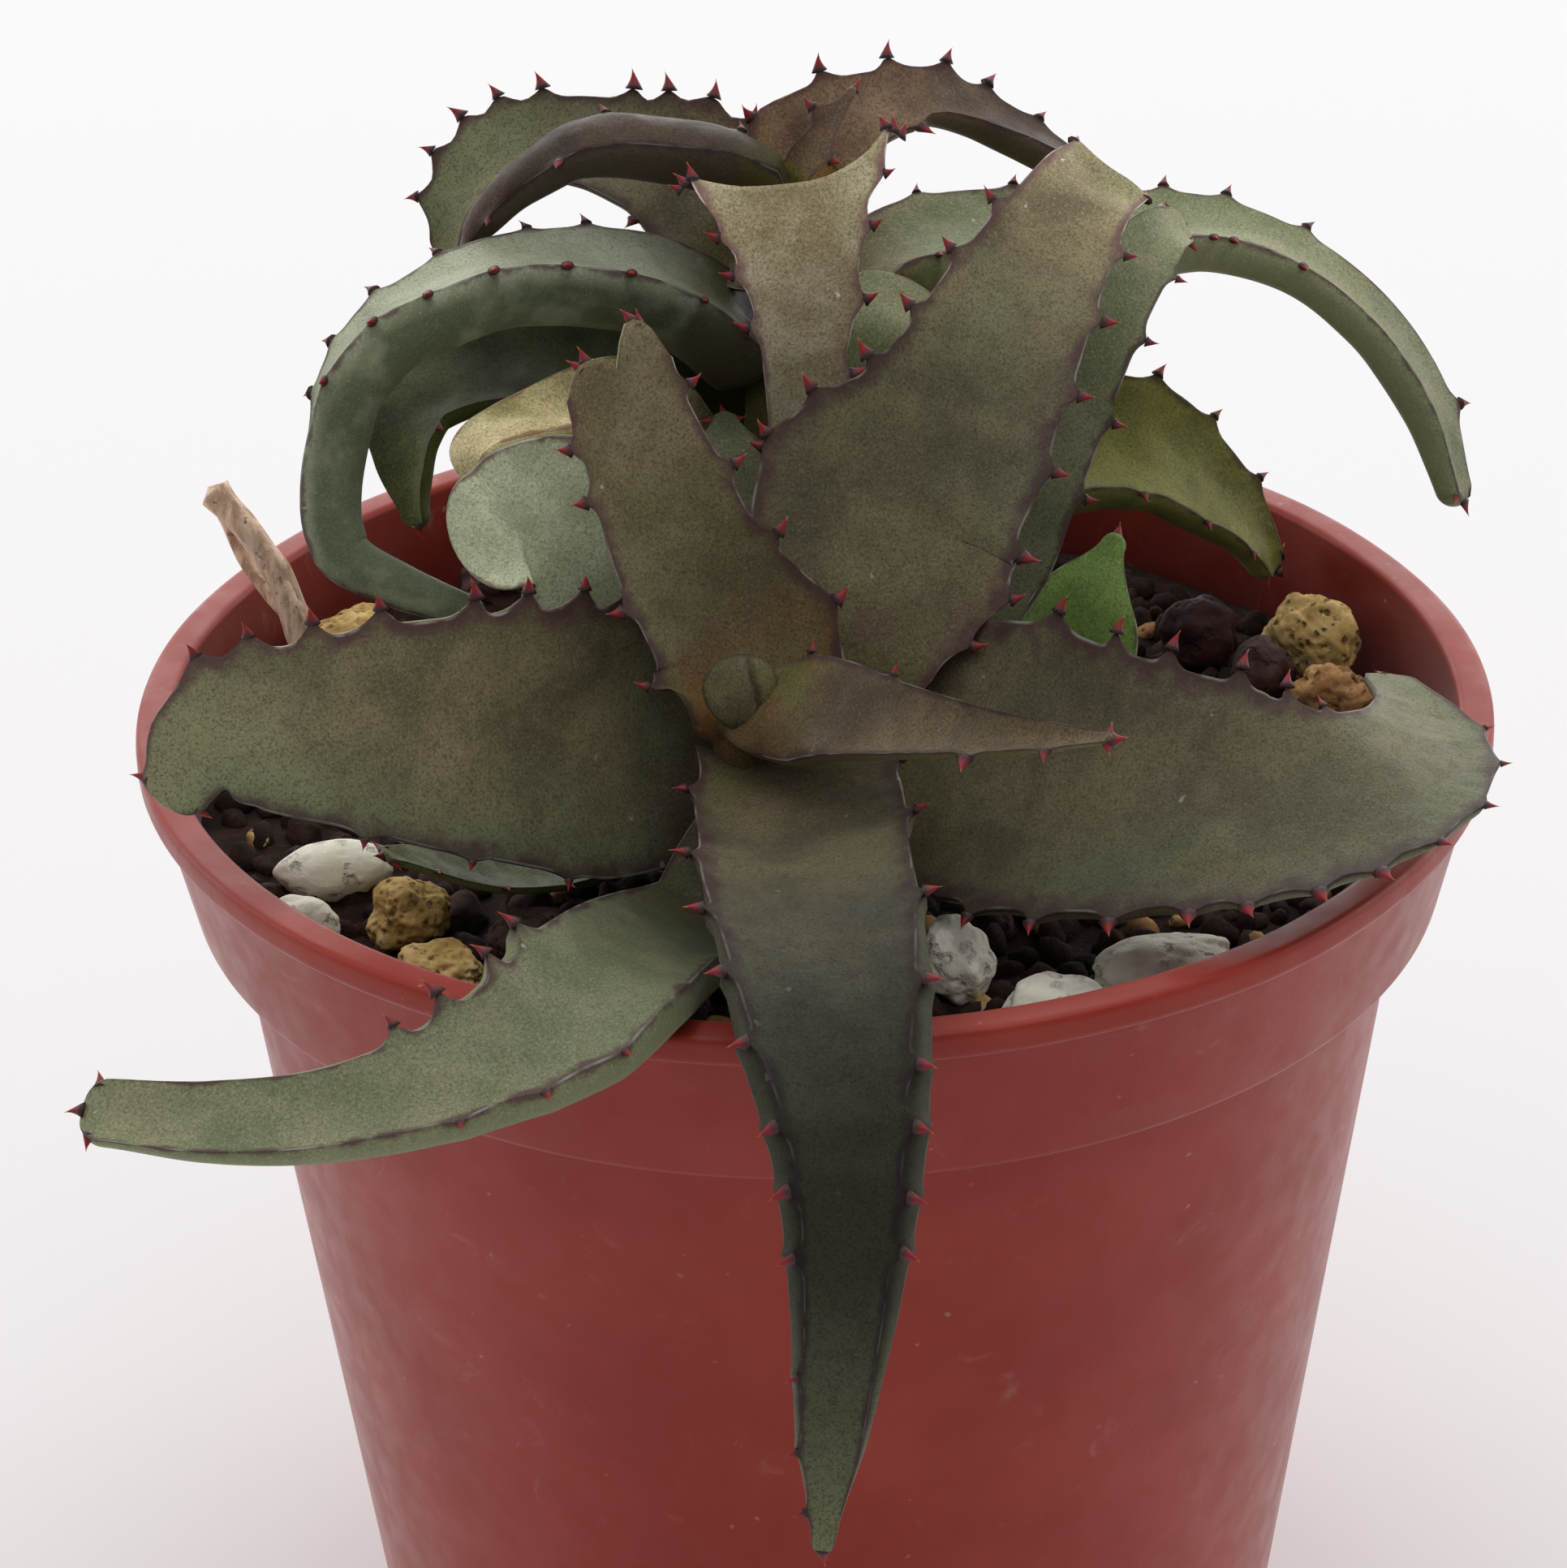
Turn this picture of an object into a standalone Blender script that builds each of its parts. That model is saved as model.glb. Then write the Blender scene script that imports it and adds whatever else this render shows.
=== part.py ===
"""A two-headed toothed aloe in a round plastic pot: pot, soil with its gravel, stem, leaves, stalk, stones."""

import math
import random

import bmesh
import bpy
from mathutils import Matrix, Vector
from mathutils.geometry import delaunay_2d_cdt

# Every length below is in millimetres and is turned into metres when a mesh is made.
MM = 0.001

# Pot
POT_HEIGHT = 75.0
LIP_RADIUS = 42.5
LIP_INNER = 40.3
LIP_DEPTH = 2.0
COLLAR_DEPTH = 10.6
COLLAR_FOOT = 39.7
BODY_TOP = 37.3
BODY_TAPER = 0.126
WALL = 1.1
FLOOR = 1.6
POT_SIDES = 48

# Soil and gravel
SOIL_LEVEL = -8.0
GAP = 0.35
GRAIN_COUNT = 190
GRAIN_SIZES = (2.4, 3.7)
GRAIN_SPACING = 0.62
GRAIN_SEED = 11
SOIL_SPACING = 2.0
SOIL_EDGE_POINTS = 44

# Stem
STEM_X = -2.4
STEM_Y = -2.0
STEM_RADIUS = 4.6
STEM_HOLE = 5.0
STEM_DEPTH = 6.5

# Middle line and radii of the stem's foot, its front limb with the crown's bud, and its rear limb
STEM_TOP = SOIL_LEVEL + 1.4
STEM_LIMBS = [
    ([(STEM_X, STEM_Y, SOIL_LEVEL - STEM_DEPTH), (STEM_X, STEM_Y, STEM_TOP)], (STEM_RADIUS, STEM_RADIUS)),
    ([(STEM_X, STEM_Y, STEM_TOP - 1.5), (-2.8, -6.0, -3.8), (-3.2, -11.0, -1.4), (-3.9, -15.8, 0.8),
      (-4.4, -17.8, 4.4), (-4.5, -19.0, 8.8)], (3.4, 3.3, 3.0, 2.0, 1.4, 1.4)),
    ([(STEM_X, STEM_Y, STEM_TOP - 1.5), (-2.3, 0.6, -2.5), (-2.0, 6.4, 4.0), (-1.4, 11.0, 13.0),
      (-0.8, 13.4, 24.6)], (3.2, 3.3, 3.0, 2.6, 1.2)),
]

# Leaves
STATION_STEP = 4.6
TOOTH_HEIGHT = 1.7
TOOTH_HALF_BASE = 1.05
TOOTH_HALF_THICK = 0.5
TOOTH_ROOT = 0.9
TOOTH_RISE = 22.0

# Leaf and stone places are measured from the middle of the rim, so the rim is at height zero.


def clear_scene():
    """Remove what the start-up scene holds."""
    for obj in list(bpy.data.objects):
        bpy.data.objects.remove(obj, do_unlink=True)


def material(name, colour, roughness):
    """A plain Principled BSDF material."""
    found = bpy.data.materials.get(name)
    if found:
        return found
    made = bpy.data.materials.new(name)
    made.use_nodes = True
    shader = made.node_tree.nodes["Principled BSDF"]
    shader.inputs["Base Color"].default_value = (*colour, 1.0)
    shader.inputs["Roughness"].default_value = roughness
    made.diffuse_color = (*colour, 1.0)
    return made


def plastic():
    return material("pot_plastic", (0.25, 0.055, 0.035), 0.45)


def earth():
    return material("soil_mix", (0.05, 0.03, 0.022), 0.95)


def skin_brown():
    return material("leaf_brown", (0.11, 0.105, 0.07), 0.6)


def skin_green():
    return material("leaf_green", (0.12, 0.17, 0.10), 0.6)


def skin_pale():
    return material("leaf_wilted", (0.30, 0.28, 0.12), 0.7)


def stalk_skin():
    return material("dry_stalk", (0.38, 0.25, 0.17), 0.9)


def white_stone():
    return material("stone_white", (0.62, 0.60, 0.56), 0.9)


def yellow_stone():
    return material("stone_yellow", (0.45, 0.33, 0.14), 0.95)


def dark_stone():
    return material("stone_dark", (0.04, 0.025, 0.025), 0.9)


def mesh_object(name, points, faces, mat, smooth=True):
    """Make one closed mesh from points in millimetres above the rim's plane."""
    mesh = bpy.data.meshes.new(name)
    lifted = [(x * MM, y * MM, (z + POT_HEIGHT) * MM) for x, y, z in points]
    mesh.from_pydata(lifted, [], faces)
    mesh.materials.append(mat)
    bm = bmesh.new()
    bm.from_mesh(mesh)
    bmesh.ops.triangulate(bm, faces=bm.faces)
    bmesh.ops.recalc_face_normals(bm, faces=bm.faces)
    bm.to_mesh(mesh)
    bm.free()
    obj = bpy.data.objects.new(name, mesh)
    bpy.context.scene.collection.objects.link(obj)
    for face in mesh.polygons:
        face.use_smooth = smooth
    return obj


def ring_solid(rings, start=None, end=None):
    """Join rings of equal length into a closed skin, with a point at either end if one is given."""
    points = []
    faces = []
    count = len(rings[0])
    for ring in rings:
        points.extend(ring)
    for row in range(len(rings) - 1):
        for i in range(count):
            j = (i + 1) % count
            a = row * count
            b = a + count
            faces.append((a + i, a + j, b + j, b + i))
    for tip, row in ((start, 0), (end, len(rings) - 1)):
        base = row * count
        if tip is None:
            faces.append(tuple(base + i for i in range(count)))
            continue
        points.append(tip)
        top = len(points) - 1
        for i in range(count):
            faces.append((base + i, base + (i + 1) % count, top))
    return points, faces


def revolved(name, profile, sides, mat):
    """Turn a profile of (radius, height) about the pot's axis; radius zero closes an end."""
    rings = []
    start = None
    end = None
    for k, (radius, height) in enumerate(profile):
        if radius == 0:
            if k == 0:
                start = (0.0, 0.0, height)
            else:
                end = (0.0, 0.0, height)
            continue
        ring = []
        for i in range(sides):
            a = 2 * math.pi * i / sides
            ring.append((radius * math.cos(a), radius * math.sin(a), height))
        rings.append(ring)
    points, faces = ring_solid(rings, start, end)
    return mesh_object(name, points, faces, mat)


def body_radius(height):
    """Outer radius of the tapered body at a height below the rim."""
    return BODY_TOP + BODY_TAPER * (height + COLLAR_DEPTH)


def pot():
    """The pot: a lipped collar over a tapered body with a plain flat base."""
    base = -POT_HEIGHT
    step = -COLLAR_DEPTH
    inside_step = COLLAR_FOOT - WALL
    profile = [
        (0, base),
        (body_radius(base) - 1.0, base),
        (body_radius(base), base + 1.0),
        (BODY_TOP, step - 0.5),
        (COLLAR_FOOT - 0.5, step - 0.5),
        (COLLAR_FOOT, step),
        (LIP_RADIUS - 1.0, -LIP_DEPTH),
        (LIP_RADIUS - 0.2, -LIP_DEPTH + 0.4),
        (LIP_RADIUS, -0.5),
        (LIP_RADIUS - 0.4, 0.0),
        (LIP_INNER + 0.3, 0.0),
        (LIP_INNER, -0.4),
        (inside_step, step + 0.6),
        (BODY_TOP - WALL, step - 1.2),
        (body_radius(base + FLOOR) - WALL, base + FLOOR),
        (0, base + FLOOR),
    ]
    return revolved("pot", profile, POT_SIDES, plastic())


def inner_radius(height):
    """Inner radius of the pot at a height below the rim."""
    top = COLLAR_FOOT - WALL
    if height > -COLLAR_DEPTH:
        part = (height + COLLAR_DEPTH) / (COLLAR_DEPTH - 0.4)
        return top + (LIP_INNER - top) * part
    return body_radius(height) - WALL


def lump(centre, size, turn, seed, level=1, rough=0.16):
    """Points and faces of a rough stone."""
    rng = random.Random(seed)
    bm = bmesh.new()
    bmesh.ops.create_icosphere(bm, subdivisions=level, radius=1.0)
    spin = Matrix.Rotation(math.radians(turn), 3, "Z") @ Matrix.Rotation(rng.uniform(-0.4, 0.4), 3, "X")
    points = []
    for v in bm.verts:
        away = v.co * (1.0 + rng.uniform(-rough, rough))
        scaled = Vector((away.x * size[0], away.y * size[1], away.z * size[2]))
        points.append(tuple(Vector(centre) + spin @ scaled))
    faces = [tuple(v.index for v in f.verts) for f in bm.faces]
    bm.free()
    return points, faces


def fuse(main, extras):
    """Join the extra pieces to the main one with a single Boolean union, then remove them."""
    if not extras:
        return main
    group = bpy.data.collections.new(main.name + "_extras")
    bpy.context.scene.collection.children.link(group)
    for obj in extras:
        bpy.context.scene.collection.objects.unlink(obj)
        group.objects.link(obj)
    union = main.modifiers.new("union", "BOOLEAN")
    union.operation = "UNION"
    union.operand_type = "COLLECTION"
    union.collection = group
    union.solver = "MANIFOLD"
    bpy.context.view_layer.objects.active = main
    bpy.ops.object.modifier_apply(modifier=union.name)
    for obj in extras:
        bpy.data.objects.remove(obj, do_unlink=True)
    bpy.data.collections.remove(group)
    return main


def drill(main, place, radius, bottom):
    """Cut a plain round hole, open at the top, and remove the cutter."""
    points, faces = ring_solid([
        [(place[0] + radius * math.cos(a), place[1] + radius * math.sin(a), height)
         for a in (2 * math.pi * i / 20 for i in range(20))]
        for height in (bottom, SOIL_LEVEL + 6.0)
    ])
    cutter = mesh_object(main.name + "_cutter", points, faces, main.data.materials[0])
    cutter.hide_render = True
    cutter.display_type = "WIRE"
    cut = main.modifiers.new("hole", "BOOLEAN")
    cut.operation = "DIFFERENCE"
    cut.object = cutter
    cut.solver = "EXACT"
    bpy.context.view_layer.objects.active = main
    bpy.ops.object.modifier_apply(modifier=cut.name)
    bpy.data.objects.remove(cutter, do_unlink=True)


def scattered_grains(reach, keep_clear):
    """Places, radii and heights of the grains, close together but off the given round places."""
    rng = random.Random(GRAIN_SEED)
    grains = []
    for _ in range(9000):
        radius = rng.uniform(*GRAIN_SIZES)
        away = math.sqrt(rng.random()) * (reach - 0.8 * radius)
        angle = rng.uniform(0, 2 * math.pi)
        x = away * math.cos(angle)
        y = away * math.sin(angle)
        if any(math.dist((x, y), g[:2]) < GRAIN_SPACING * (radius + g[2]) for g in grains):
            continue
        if any(math.dist((x, y), c[:2]) < 0.95 * radius + c[2] for c in keep_clear):
            continue
        grains.append((x, y, radius, radius * rng.uniform(0.55, 0.9)))
        if len(grains) == GRAIN_COUNT:
            break
    return grains


def soil(keep_clear):
    """The filling, whose top is a relief of grains that leaves the places of stones and stems flat."""
    floor = -POT_HEIGHT + FLOOR + GAP
    reach = inner_radius(SOIL_LEVEL) - GAP - 0.6
    grains = scattered_grains(reach, keep_clear)
    around = [2 * math.pi * i / SOIL_EDGE_POINTS for i in range(SOIL_EDGE_POINTS)]
    flat = [Vector((reach * math.cos(a), reach * math.sin(a))) for a in around]
    rng = random.Random(GRAIN_SEED + 1)
    rows = int(reach / (SOIL_SPACING * 0.87))
    for row in range(-rows, rows + 1):
        for column in range(-rows, rows + 1):
            x = (column + 0.5 * (row % 2)) * SOIL_SPACING + rng.uniform(-0.2, 0.2)
            y = row * SOIL_SPACING * 0.87 + rng.uniform(-0.2, 0.2)
            if math.hypot(x, y) < reach - 0.6 * SOIL_SPACING:
                flat.append(Vector((x, y)))
    placed, _, faces, _, _, _ = delaunay_2d_cdt(flat, [], [], 0, 1e-4)
    points = []
    for place in placed:
        height = 0.0
        for x, y, radius, tall in grains:
            share = ((place.x - x) ** 2 + (place.y - y) ** 2) / radius**2
            if share < 1:
                height = max(height, tall * math.sqrt(1 - share))
        points.append((place.x, place.y, SOIL_LEVEL + height))
    faces = [tuple(face) for face in faces]
    edge = sorted((i for i, p in enumerate(placed) if p.length > reach - 0.01), key=lambda i: math.atan2(*placed[i]))
    rings = [edge]
    for radius, height in (
        (COLLAR_FOOT - WALL - GAP - 0.7, -COLLAR_DEPTH + 1.1),
        (BODY_TOP - WALL - GAP - 0.2, -COLLAR_DEPTH - 1.6),
        (inner_radius(floor) - GAP - 0.6, floor),
    ):
        first = len(points)
        for i in edge:
            turn = placed[i].normalized() * radius
            points.append((turn.x, turn.y, height))
        rings.append(list(range(first, len(points))))
    for upper, lower in zip(rings, rings[1:]):
        for k in range(len(edge)):
            n = (k + 1) % len(edge)
            faces.append((upper[k], upper[n], lower[n], lower[k]))
    faces.append(tuple(rings[-1]))
    ground = mesh_object("soil", points, faces, earth(), False)
    drill(ground, (STEM_X, STEM_Y), STEM_HOLE, SOIL_LEVEL - STEM_DEPTH - GAP)
    return ground


def smooth_path(points, count):
    """Evenly spaced places along a curve that passes through every given point."""
    pts = [Vector(p) for p in points]
    pts = [pts[0] * 2 - pts[1]] + pts + [pts[-1] * 2 - pts[-2]]
    dense = []
    for k in range(1, len(pts) - 2):
        a, b, c, d = pts[k - 1 : k + 3]
        knots = [0.0]
        for p, q in ((a, b), (b, c), (c, d)):
            knots.append(knots[-1] + max((q - p).length, 1e-6) ** 0.5)
        for i in range(16):
            t = knots[1] + (knots[2] - knots[1]) * i / 16
            rows = [a, b, c, d]
            for level in (1, 2, 3):
                nxt = []
                for j in range(4 - level):
                    left = knots[j] if level < 3 else knots[1]
                    right = knots[j + level] if level < 3 else knots[2]
                    w = (t - left) / (right - left)
                    nxt.append(rows[j] * (1 - w) + rows[j + 1] * w)
                rows = nxt
            dense.append(rows[0])
    dense.append(pts[-2])
    lengths = [0.0]
    for p, q in zip(dense, dense[1:]):
        lengths.append(lengths[-1] + (q - p).length)
    total = lengths[-1]
    places = []
    k = 0
    for i in range(count):
        want = total * i / (count - 1)
        while k < len(lengths) - 2 and lengths[k + 1] < want:
            k += 1
        w = (want - lengths[k]) / max(lengths[k + 1] - lengths[k], 1e-9)
        places.append(dense[k].lerp(dense[k + 1], min(max(w, 0.0), 1.0)))
    return places, total


def frames(places, face, face_end=None):
    """Along, side and upper-face directions at every place: carried along without spin, and turned
    little by little where a direction for the far end is given."""
    last = len(places) - 1
    along = []
    for i in range(len(places)):
        a = places[max(i - 1, 0)]
        b = places[min(i + 1, last)]
        along.append((b - a).normalized())
    carried = []
    up = Vector(face)
    for t in along:
        up = (up - t * up.dot(t)).normalized()
        carried.append(up)
    twist = 0.0
    if face_end:
        t = along[-1]
        goal = Vector(face_end)
        goal = (goal - t * goal.dot(t)).normalized()
        twist = math.atan2(up.cross(goal).dot(t), up.dot(goal))
    result = []
    for i, t in enumerate(along):
        turned = Matrix.Rotation(twist * i / last, 3, t) @ carried[i]
        result.append((t, turned.cross(t).normalized(), turned))
    return result


def leaf_width(s, base, peak, tip, power):
    """Share of the full width at a share of the length; a peak of one gives a leaf that flares."""
    if peak >= 1:
        return base + (tip - base) * s**power
    if s < peak:
        u = s / peak
        return base + (1 - base) * math.sin(u * math.pi / 2)
    u = (s - peak) / (1 - peak)
    return tip + (1 - tip) * (1 - u**power)


def section(place, frame, half, thick, channel, belly, notch):
    """One ring of the leaf: a hollowed upper face between two edges and a rounded lower face, which
    bulges past the edges by the belly. The notch draws the edges forward past the middle."""
    t, side, up = frame
    outline = [
        (1.0, 0.0),
        (0.0, -channel),
        (-1.0, 0.0),
        (-belly, -0.36 * thick),
        (-0.6 * belly, -0.86 * thick),
        (0.0, -thick),
        (0.6 * belly, -0.86 * thick),
        (belly, -0.36 * thick),
    ]
    ring = []
    for a, b in outline:
        ahead = notch[0] if a > 0 else notch[1]
        ring.append(tuple(place + side * (half * a) + up * b + t * (ahead * min(a * a, 1.0))))
    return ring


def tooth(root, along, out, up, height, name, mat):
    """A flat three-sided tooth whose root is sunk into the leaf's edge."""
    sunk = root - out * TOOTH_ROOT
    scale = height / TOOTH_HEIGHT
    half = along * (TOOTH_HALF_BASE * (0.55 + 0.45 * scale))
    thick = up * (TOOTH_HALF_THICK * (0.6 + 0.4 * scale))
    apex = root + out * height + along * (0.25 * height)
    points = [tuple(p) for p in (sunk - half + thick * 0.6, sunk + half + thick * 0.6, sunk - thick, apex)]
    faces = [(0, 1, 2), (0, 1, 3), (1, 2, 3), (2, 0, 3)]
    return mesh_object(name, points, faces, mat)


def leaf_body(name, path, faces_at, width, thick, mat, shape, channel, belly=0.06, notch=(0, 0)):
    """The leaf without teeth; also gives back its places, frames and half widths."""
    base, peak, tip, power = shape
    rough, total = smooth_path(path, 3)
    count = max(6, round(total / STATION_STEP) + 1)
    places, total = smooth_path(path, count)
    turned = frames(places, *faces_at)
    rings = []
    halves = []
    depths = []
    for i, place in enumerate(places):
        s = i / (count - 1)
        half = 0.5 * width * leaf_width(s, base, peak, tip, power)
        depth = max(thick * (1 - 0.72 * s**1.4), 0.75)
        depth = min(depth, half * 1.5 + 0.3)
        hollow = min(channel * half, depth - 0.65)
        halves.append(half)
        depths.append(depth)
        ahead = (notch[0] * s**4, notch[1] * s**4)
        rings.append(section(place, turned[i], half, depth, max(hollow, 0.0), 1.0 + belly * s, ahead))
    t, side, up = turned[-1]
    start = places[0] - turned[0][2] * (0.5 * depths[0])
    foot = stem_skin(start) - start
    if foot.dot(turned[0][0]) < -0.3 * foot.length:
        start = start + foot
    start = tuple(start)
    reach = 0.25 if any(notch) else 0.6 * halves[-1] + 0.5
    end = tuple(places[-1] + t * reach - up * (0.4 * depths[-1]))
    points, faces = ring_solid(rings, start, end)
    return mesh_object(name, points, faces, mat), places, turned, halves, total


def at_share(values, s):
    """A value between two neighbours in a list, at a share of its length."""
    x = s * (len(values) - 1)
    k = min(int(x), len(values) - 2)
    w = x - k
    if isinstance(values[0], Vector):
        return values[k].lerp(values[k + 1], w)
    return values[k] * (1 - w) + values[k + 1] * w


def leaf(
    name,
    path,
    face,
    face_end=None,
    width=12.0,
    thick=3.4,
    mat=None,
    shape=(0.75, 0.3, 0.22, 1.4),
    channel=0.16,
    teeth=(0.14, 0.95),
    spacing=4.6,
    height=TOOTH_HEIGHT,
    tip_spines=3,
    belly=0.06,
    notch=(0, 0),
):
    """A whole leaf: a body, teeth along both edges and spines at the tip, or at both tips if notched."""
    mat = mat or skin_brown()
    body, *run = leaf_body(name, path, (face, face_end), width, thick, mat, shape, channel, belly, notch)
    return fuse(body, leaf_teeth(name, run, teeth, spacing, height, tip_spines, mat, notch))


def leaf_teeth(name, run, span, spacing, height, tip_spines, mat, notch):
    """The teeth of one leaf body, from its places, frames, half widths and length."""
    places, turned, halves, length = run
    alongs = [f[0] for f in turned]
    sides = [f[1] for f in turned]
    ups = [f[2] for f in turned]
    made = []
    rise = math.radians(TOOTH_RISE)
    for edge in (1, -1):
        ahead = notch[0] if edge > 0 else notch[1]
        number = max(0, round(length * (span[1] - span[0]) / spacing))
        for k in range(number):
            s = span[0] + (span[1] - span[0]) * (k + 0.5 + 0.18 * edge) / number
            t = at_share(alongs, s).normalized()
            side = at_share(sides, s).normalized() * edge
            up = at_share(ups, s).normalized()
            out = side * math.cos(rise) + up * math.sin(rise)
            flat = up * math.cos(rise) - side * math.sin(rise)
            size = height * (0.72 + 0.28 * math.sin(math.pi * min(s * 1.1, 1.0)))
            root = at_share(places, s) + side * at_share(halves, s) * 0.99 - up * 0.12
            root += t * (ahead * s**4)
            made.append(tooth(root, t, out, flat, size, "%s_tooth_%d_%d" % (name, edge, k), mat))
    t, side, up = turned[-1]
    for k in range(tip_spines):
        lean = (k - (tip_spines - 1) / 2) * 1.1
        out = (t + side * (0.5 * lean)).normalized()
        root = places[-1] + side * (halves[-1] * 0.75 * lean) - up * 0.35
        if any(notch):
            edge = 1 if k % 2 else -1
            out = (t + side * (0.25 * edge * (k - 1))).normalized()
            root = places[-1] + side * (0.93 * edge * halves[-1]) - up * 0.4
            root += t * (notch[0] if edge > 0 else notch[1]) * 0.96
        made.append(tooth(root, side, out, up, height * 0.85, "%s_spine_%d" % (name, k), mat))
    return made


def stem():
    """The short stem: it stands in a hole in the soil and forks into a front head and a rear head."""
    limbs = []
    for k, (path, radii) in enumerate(STEM_LIMBS):
        name = "stem_limb_%d" % k if k else "stem"
        limbs.append(tube(name, path, radii, 14 if k == 0 else 10, skin_green()))
    return fuse(limbs[0], limbs[1:])


def stem_skin(point):
    """The place nearest to a point that lies just outside the stem."""
    best = None
    for path, radii in STEM_LIMBS:
        places, total = smooth_path(path, 40)
        for i, place in enumerate(places):
            radius = at_share(list(radii), i / 39)
            away = point - place
            clear = away.length - radius
            if best is None or clear < best[0]:
                best = (clear, place + away.normalized() * (radius + GAP))
    return best[1]


def tube(name, path, radii, sides, mat, step=4.0):
    """A round limb whose radius changes along its path."""
    rough, total = smooth_path(path, 3)
    count = max(4, round(total / step) + 1)
    places, total = smooth_path(path, count)
    turned = frames(places, (1.0, 0.1, 0.0))
    rings = []
    for i, place in enumerate(places):
        radius = at_share(list(radii), i / (count - 1))
        t, side, up = turned[i]
        ring = []
        for k in range(sides):
            a = 2 * math.pi * k / sides
            ring.append(tuple(place + side * (radius * math.cos(a)) + up * (radius * math.sin(a))))
        rings.append(ring)
    end = tuple(places[-1] + turned[-1][0] * radii[-1])
    start = tuple(places[0])
    points, faces = ring_solid(rings, start, end)
    return mesh_object(name, points, faces, mat)


def dry_stalk():
    """The forked, broken stub of an old flower stalk."""
    mat = stalk_skin()
    main = tube(
        "dry_stalk",
        [(-31.0, 7.5, -7.1), (-32.5, 8.5, -1.5), (-34.8, 10.0, 4.6), (-38.2, 12.0, 8.4)],
        (1.25, 1.2, 1.0, 1.05),
        8,
        mat,
        3.0,
    )
    twig = tube("dry_twig", [(-32.6, 8.8, -1.0), (-36.0, 12.0, 2.6), (-38.2, 13.8, 6.2)], (0.8, 0.65, 0.5), 6, mat, 3.0)
    return fuse(main, [twig])


# Name, place, half sizes, turn about the vertical, seed, kind
STONES = [
    ("stone_white_left", (-29.6, -12.3), (4.1, 2.2, 2.0), 8, 1, "white"),
    ("stone_white_low", (-31.0, -18.2), (2.6, 1.7, 1.7), -25, 2, "white"),
    ("stone_yellow_left", (-24.6, -18.4), (2.7, 2.3, 2.3), 20, 3, "yellow"),
    ("stone_yellow_front", (-22.6, -24.6), (3.0, 2.3, 2.1), -15, 4, "yellow"),
    ("stone_dark_front", (-17.0, -21.8), (2.8, 2.4, 2.2), 35, 5, "dark"),
    ("stone_white_mid", (8.2, -24.4), (2.3, 3.0, 2.1), 5, 6, "white"),
    ("stone_white_front", (13.6, -30.0), (3.3, 2.4, 2.1), 14, 7, "white"),
    ("stone_white_right", (20.4, -25.6), (4.2, 2.6, 2.1), 12, 8, "white"),
    ("stone_yellow_right", (32.9, 15.0), (4.0, 2.3, 3.1), -48, 9, "yellow"),
    ("stone_brown_right", (33.7, 7.6), (2.8, 2.1, 2.4), 22, 10, "yellow"),
    ("stone_dark_right", (29.4, 11.4), (2.2, 2.3, 2.5), 0, 11, "dark"),
    ("chip_dark_right", (25.6, 16.2), (2.9, 1.6, 2.9), 10, 12, "dark"),
    ("stone_yellow_back", (-30.6, 17.4), (3.2, 2.6, 2.5), 15, 13, "yellow"),
    ("stone_dark_back", (-21.0, 26.0), (3.4, 2.8, 2.4), 10, 14, "dark"),
]


def stones():
    """The larger stones, each its own piece, lying just clear of the soil."""
    kinds = {"white": white_stone(), "yellow": yellow_stone(), "dark": dark_stone()}
    for name, place, size, turn, seed, kind in STONES:
        points, faces = lump((place[0], place[1], 0.0), size, turn, seed, 2, 0.07)
        low = min(p[2] for p in points)
        lift = SOIL_LEVEL + GAP - low
        points = [(x, y, z + lift) for x, y, z in points]
        mesh_object(name, points, faces, kinds[kind])


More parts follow.
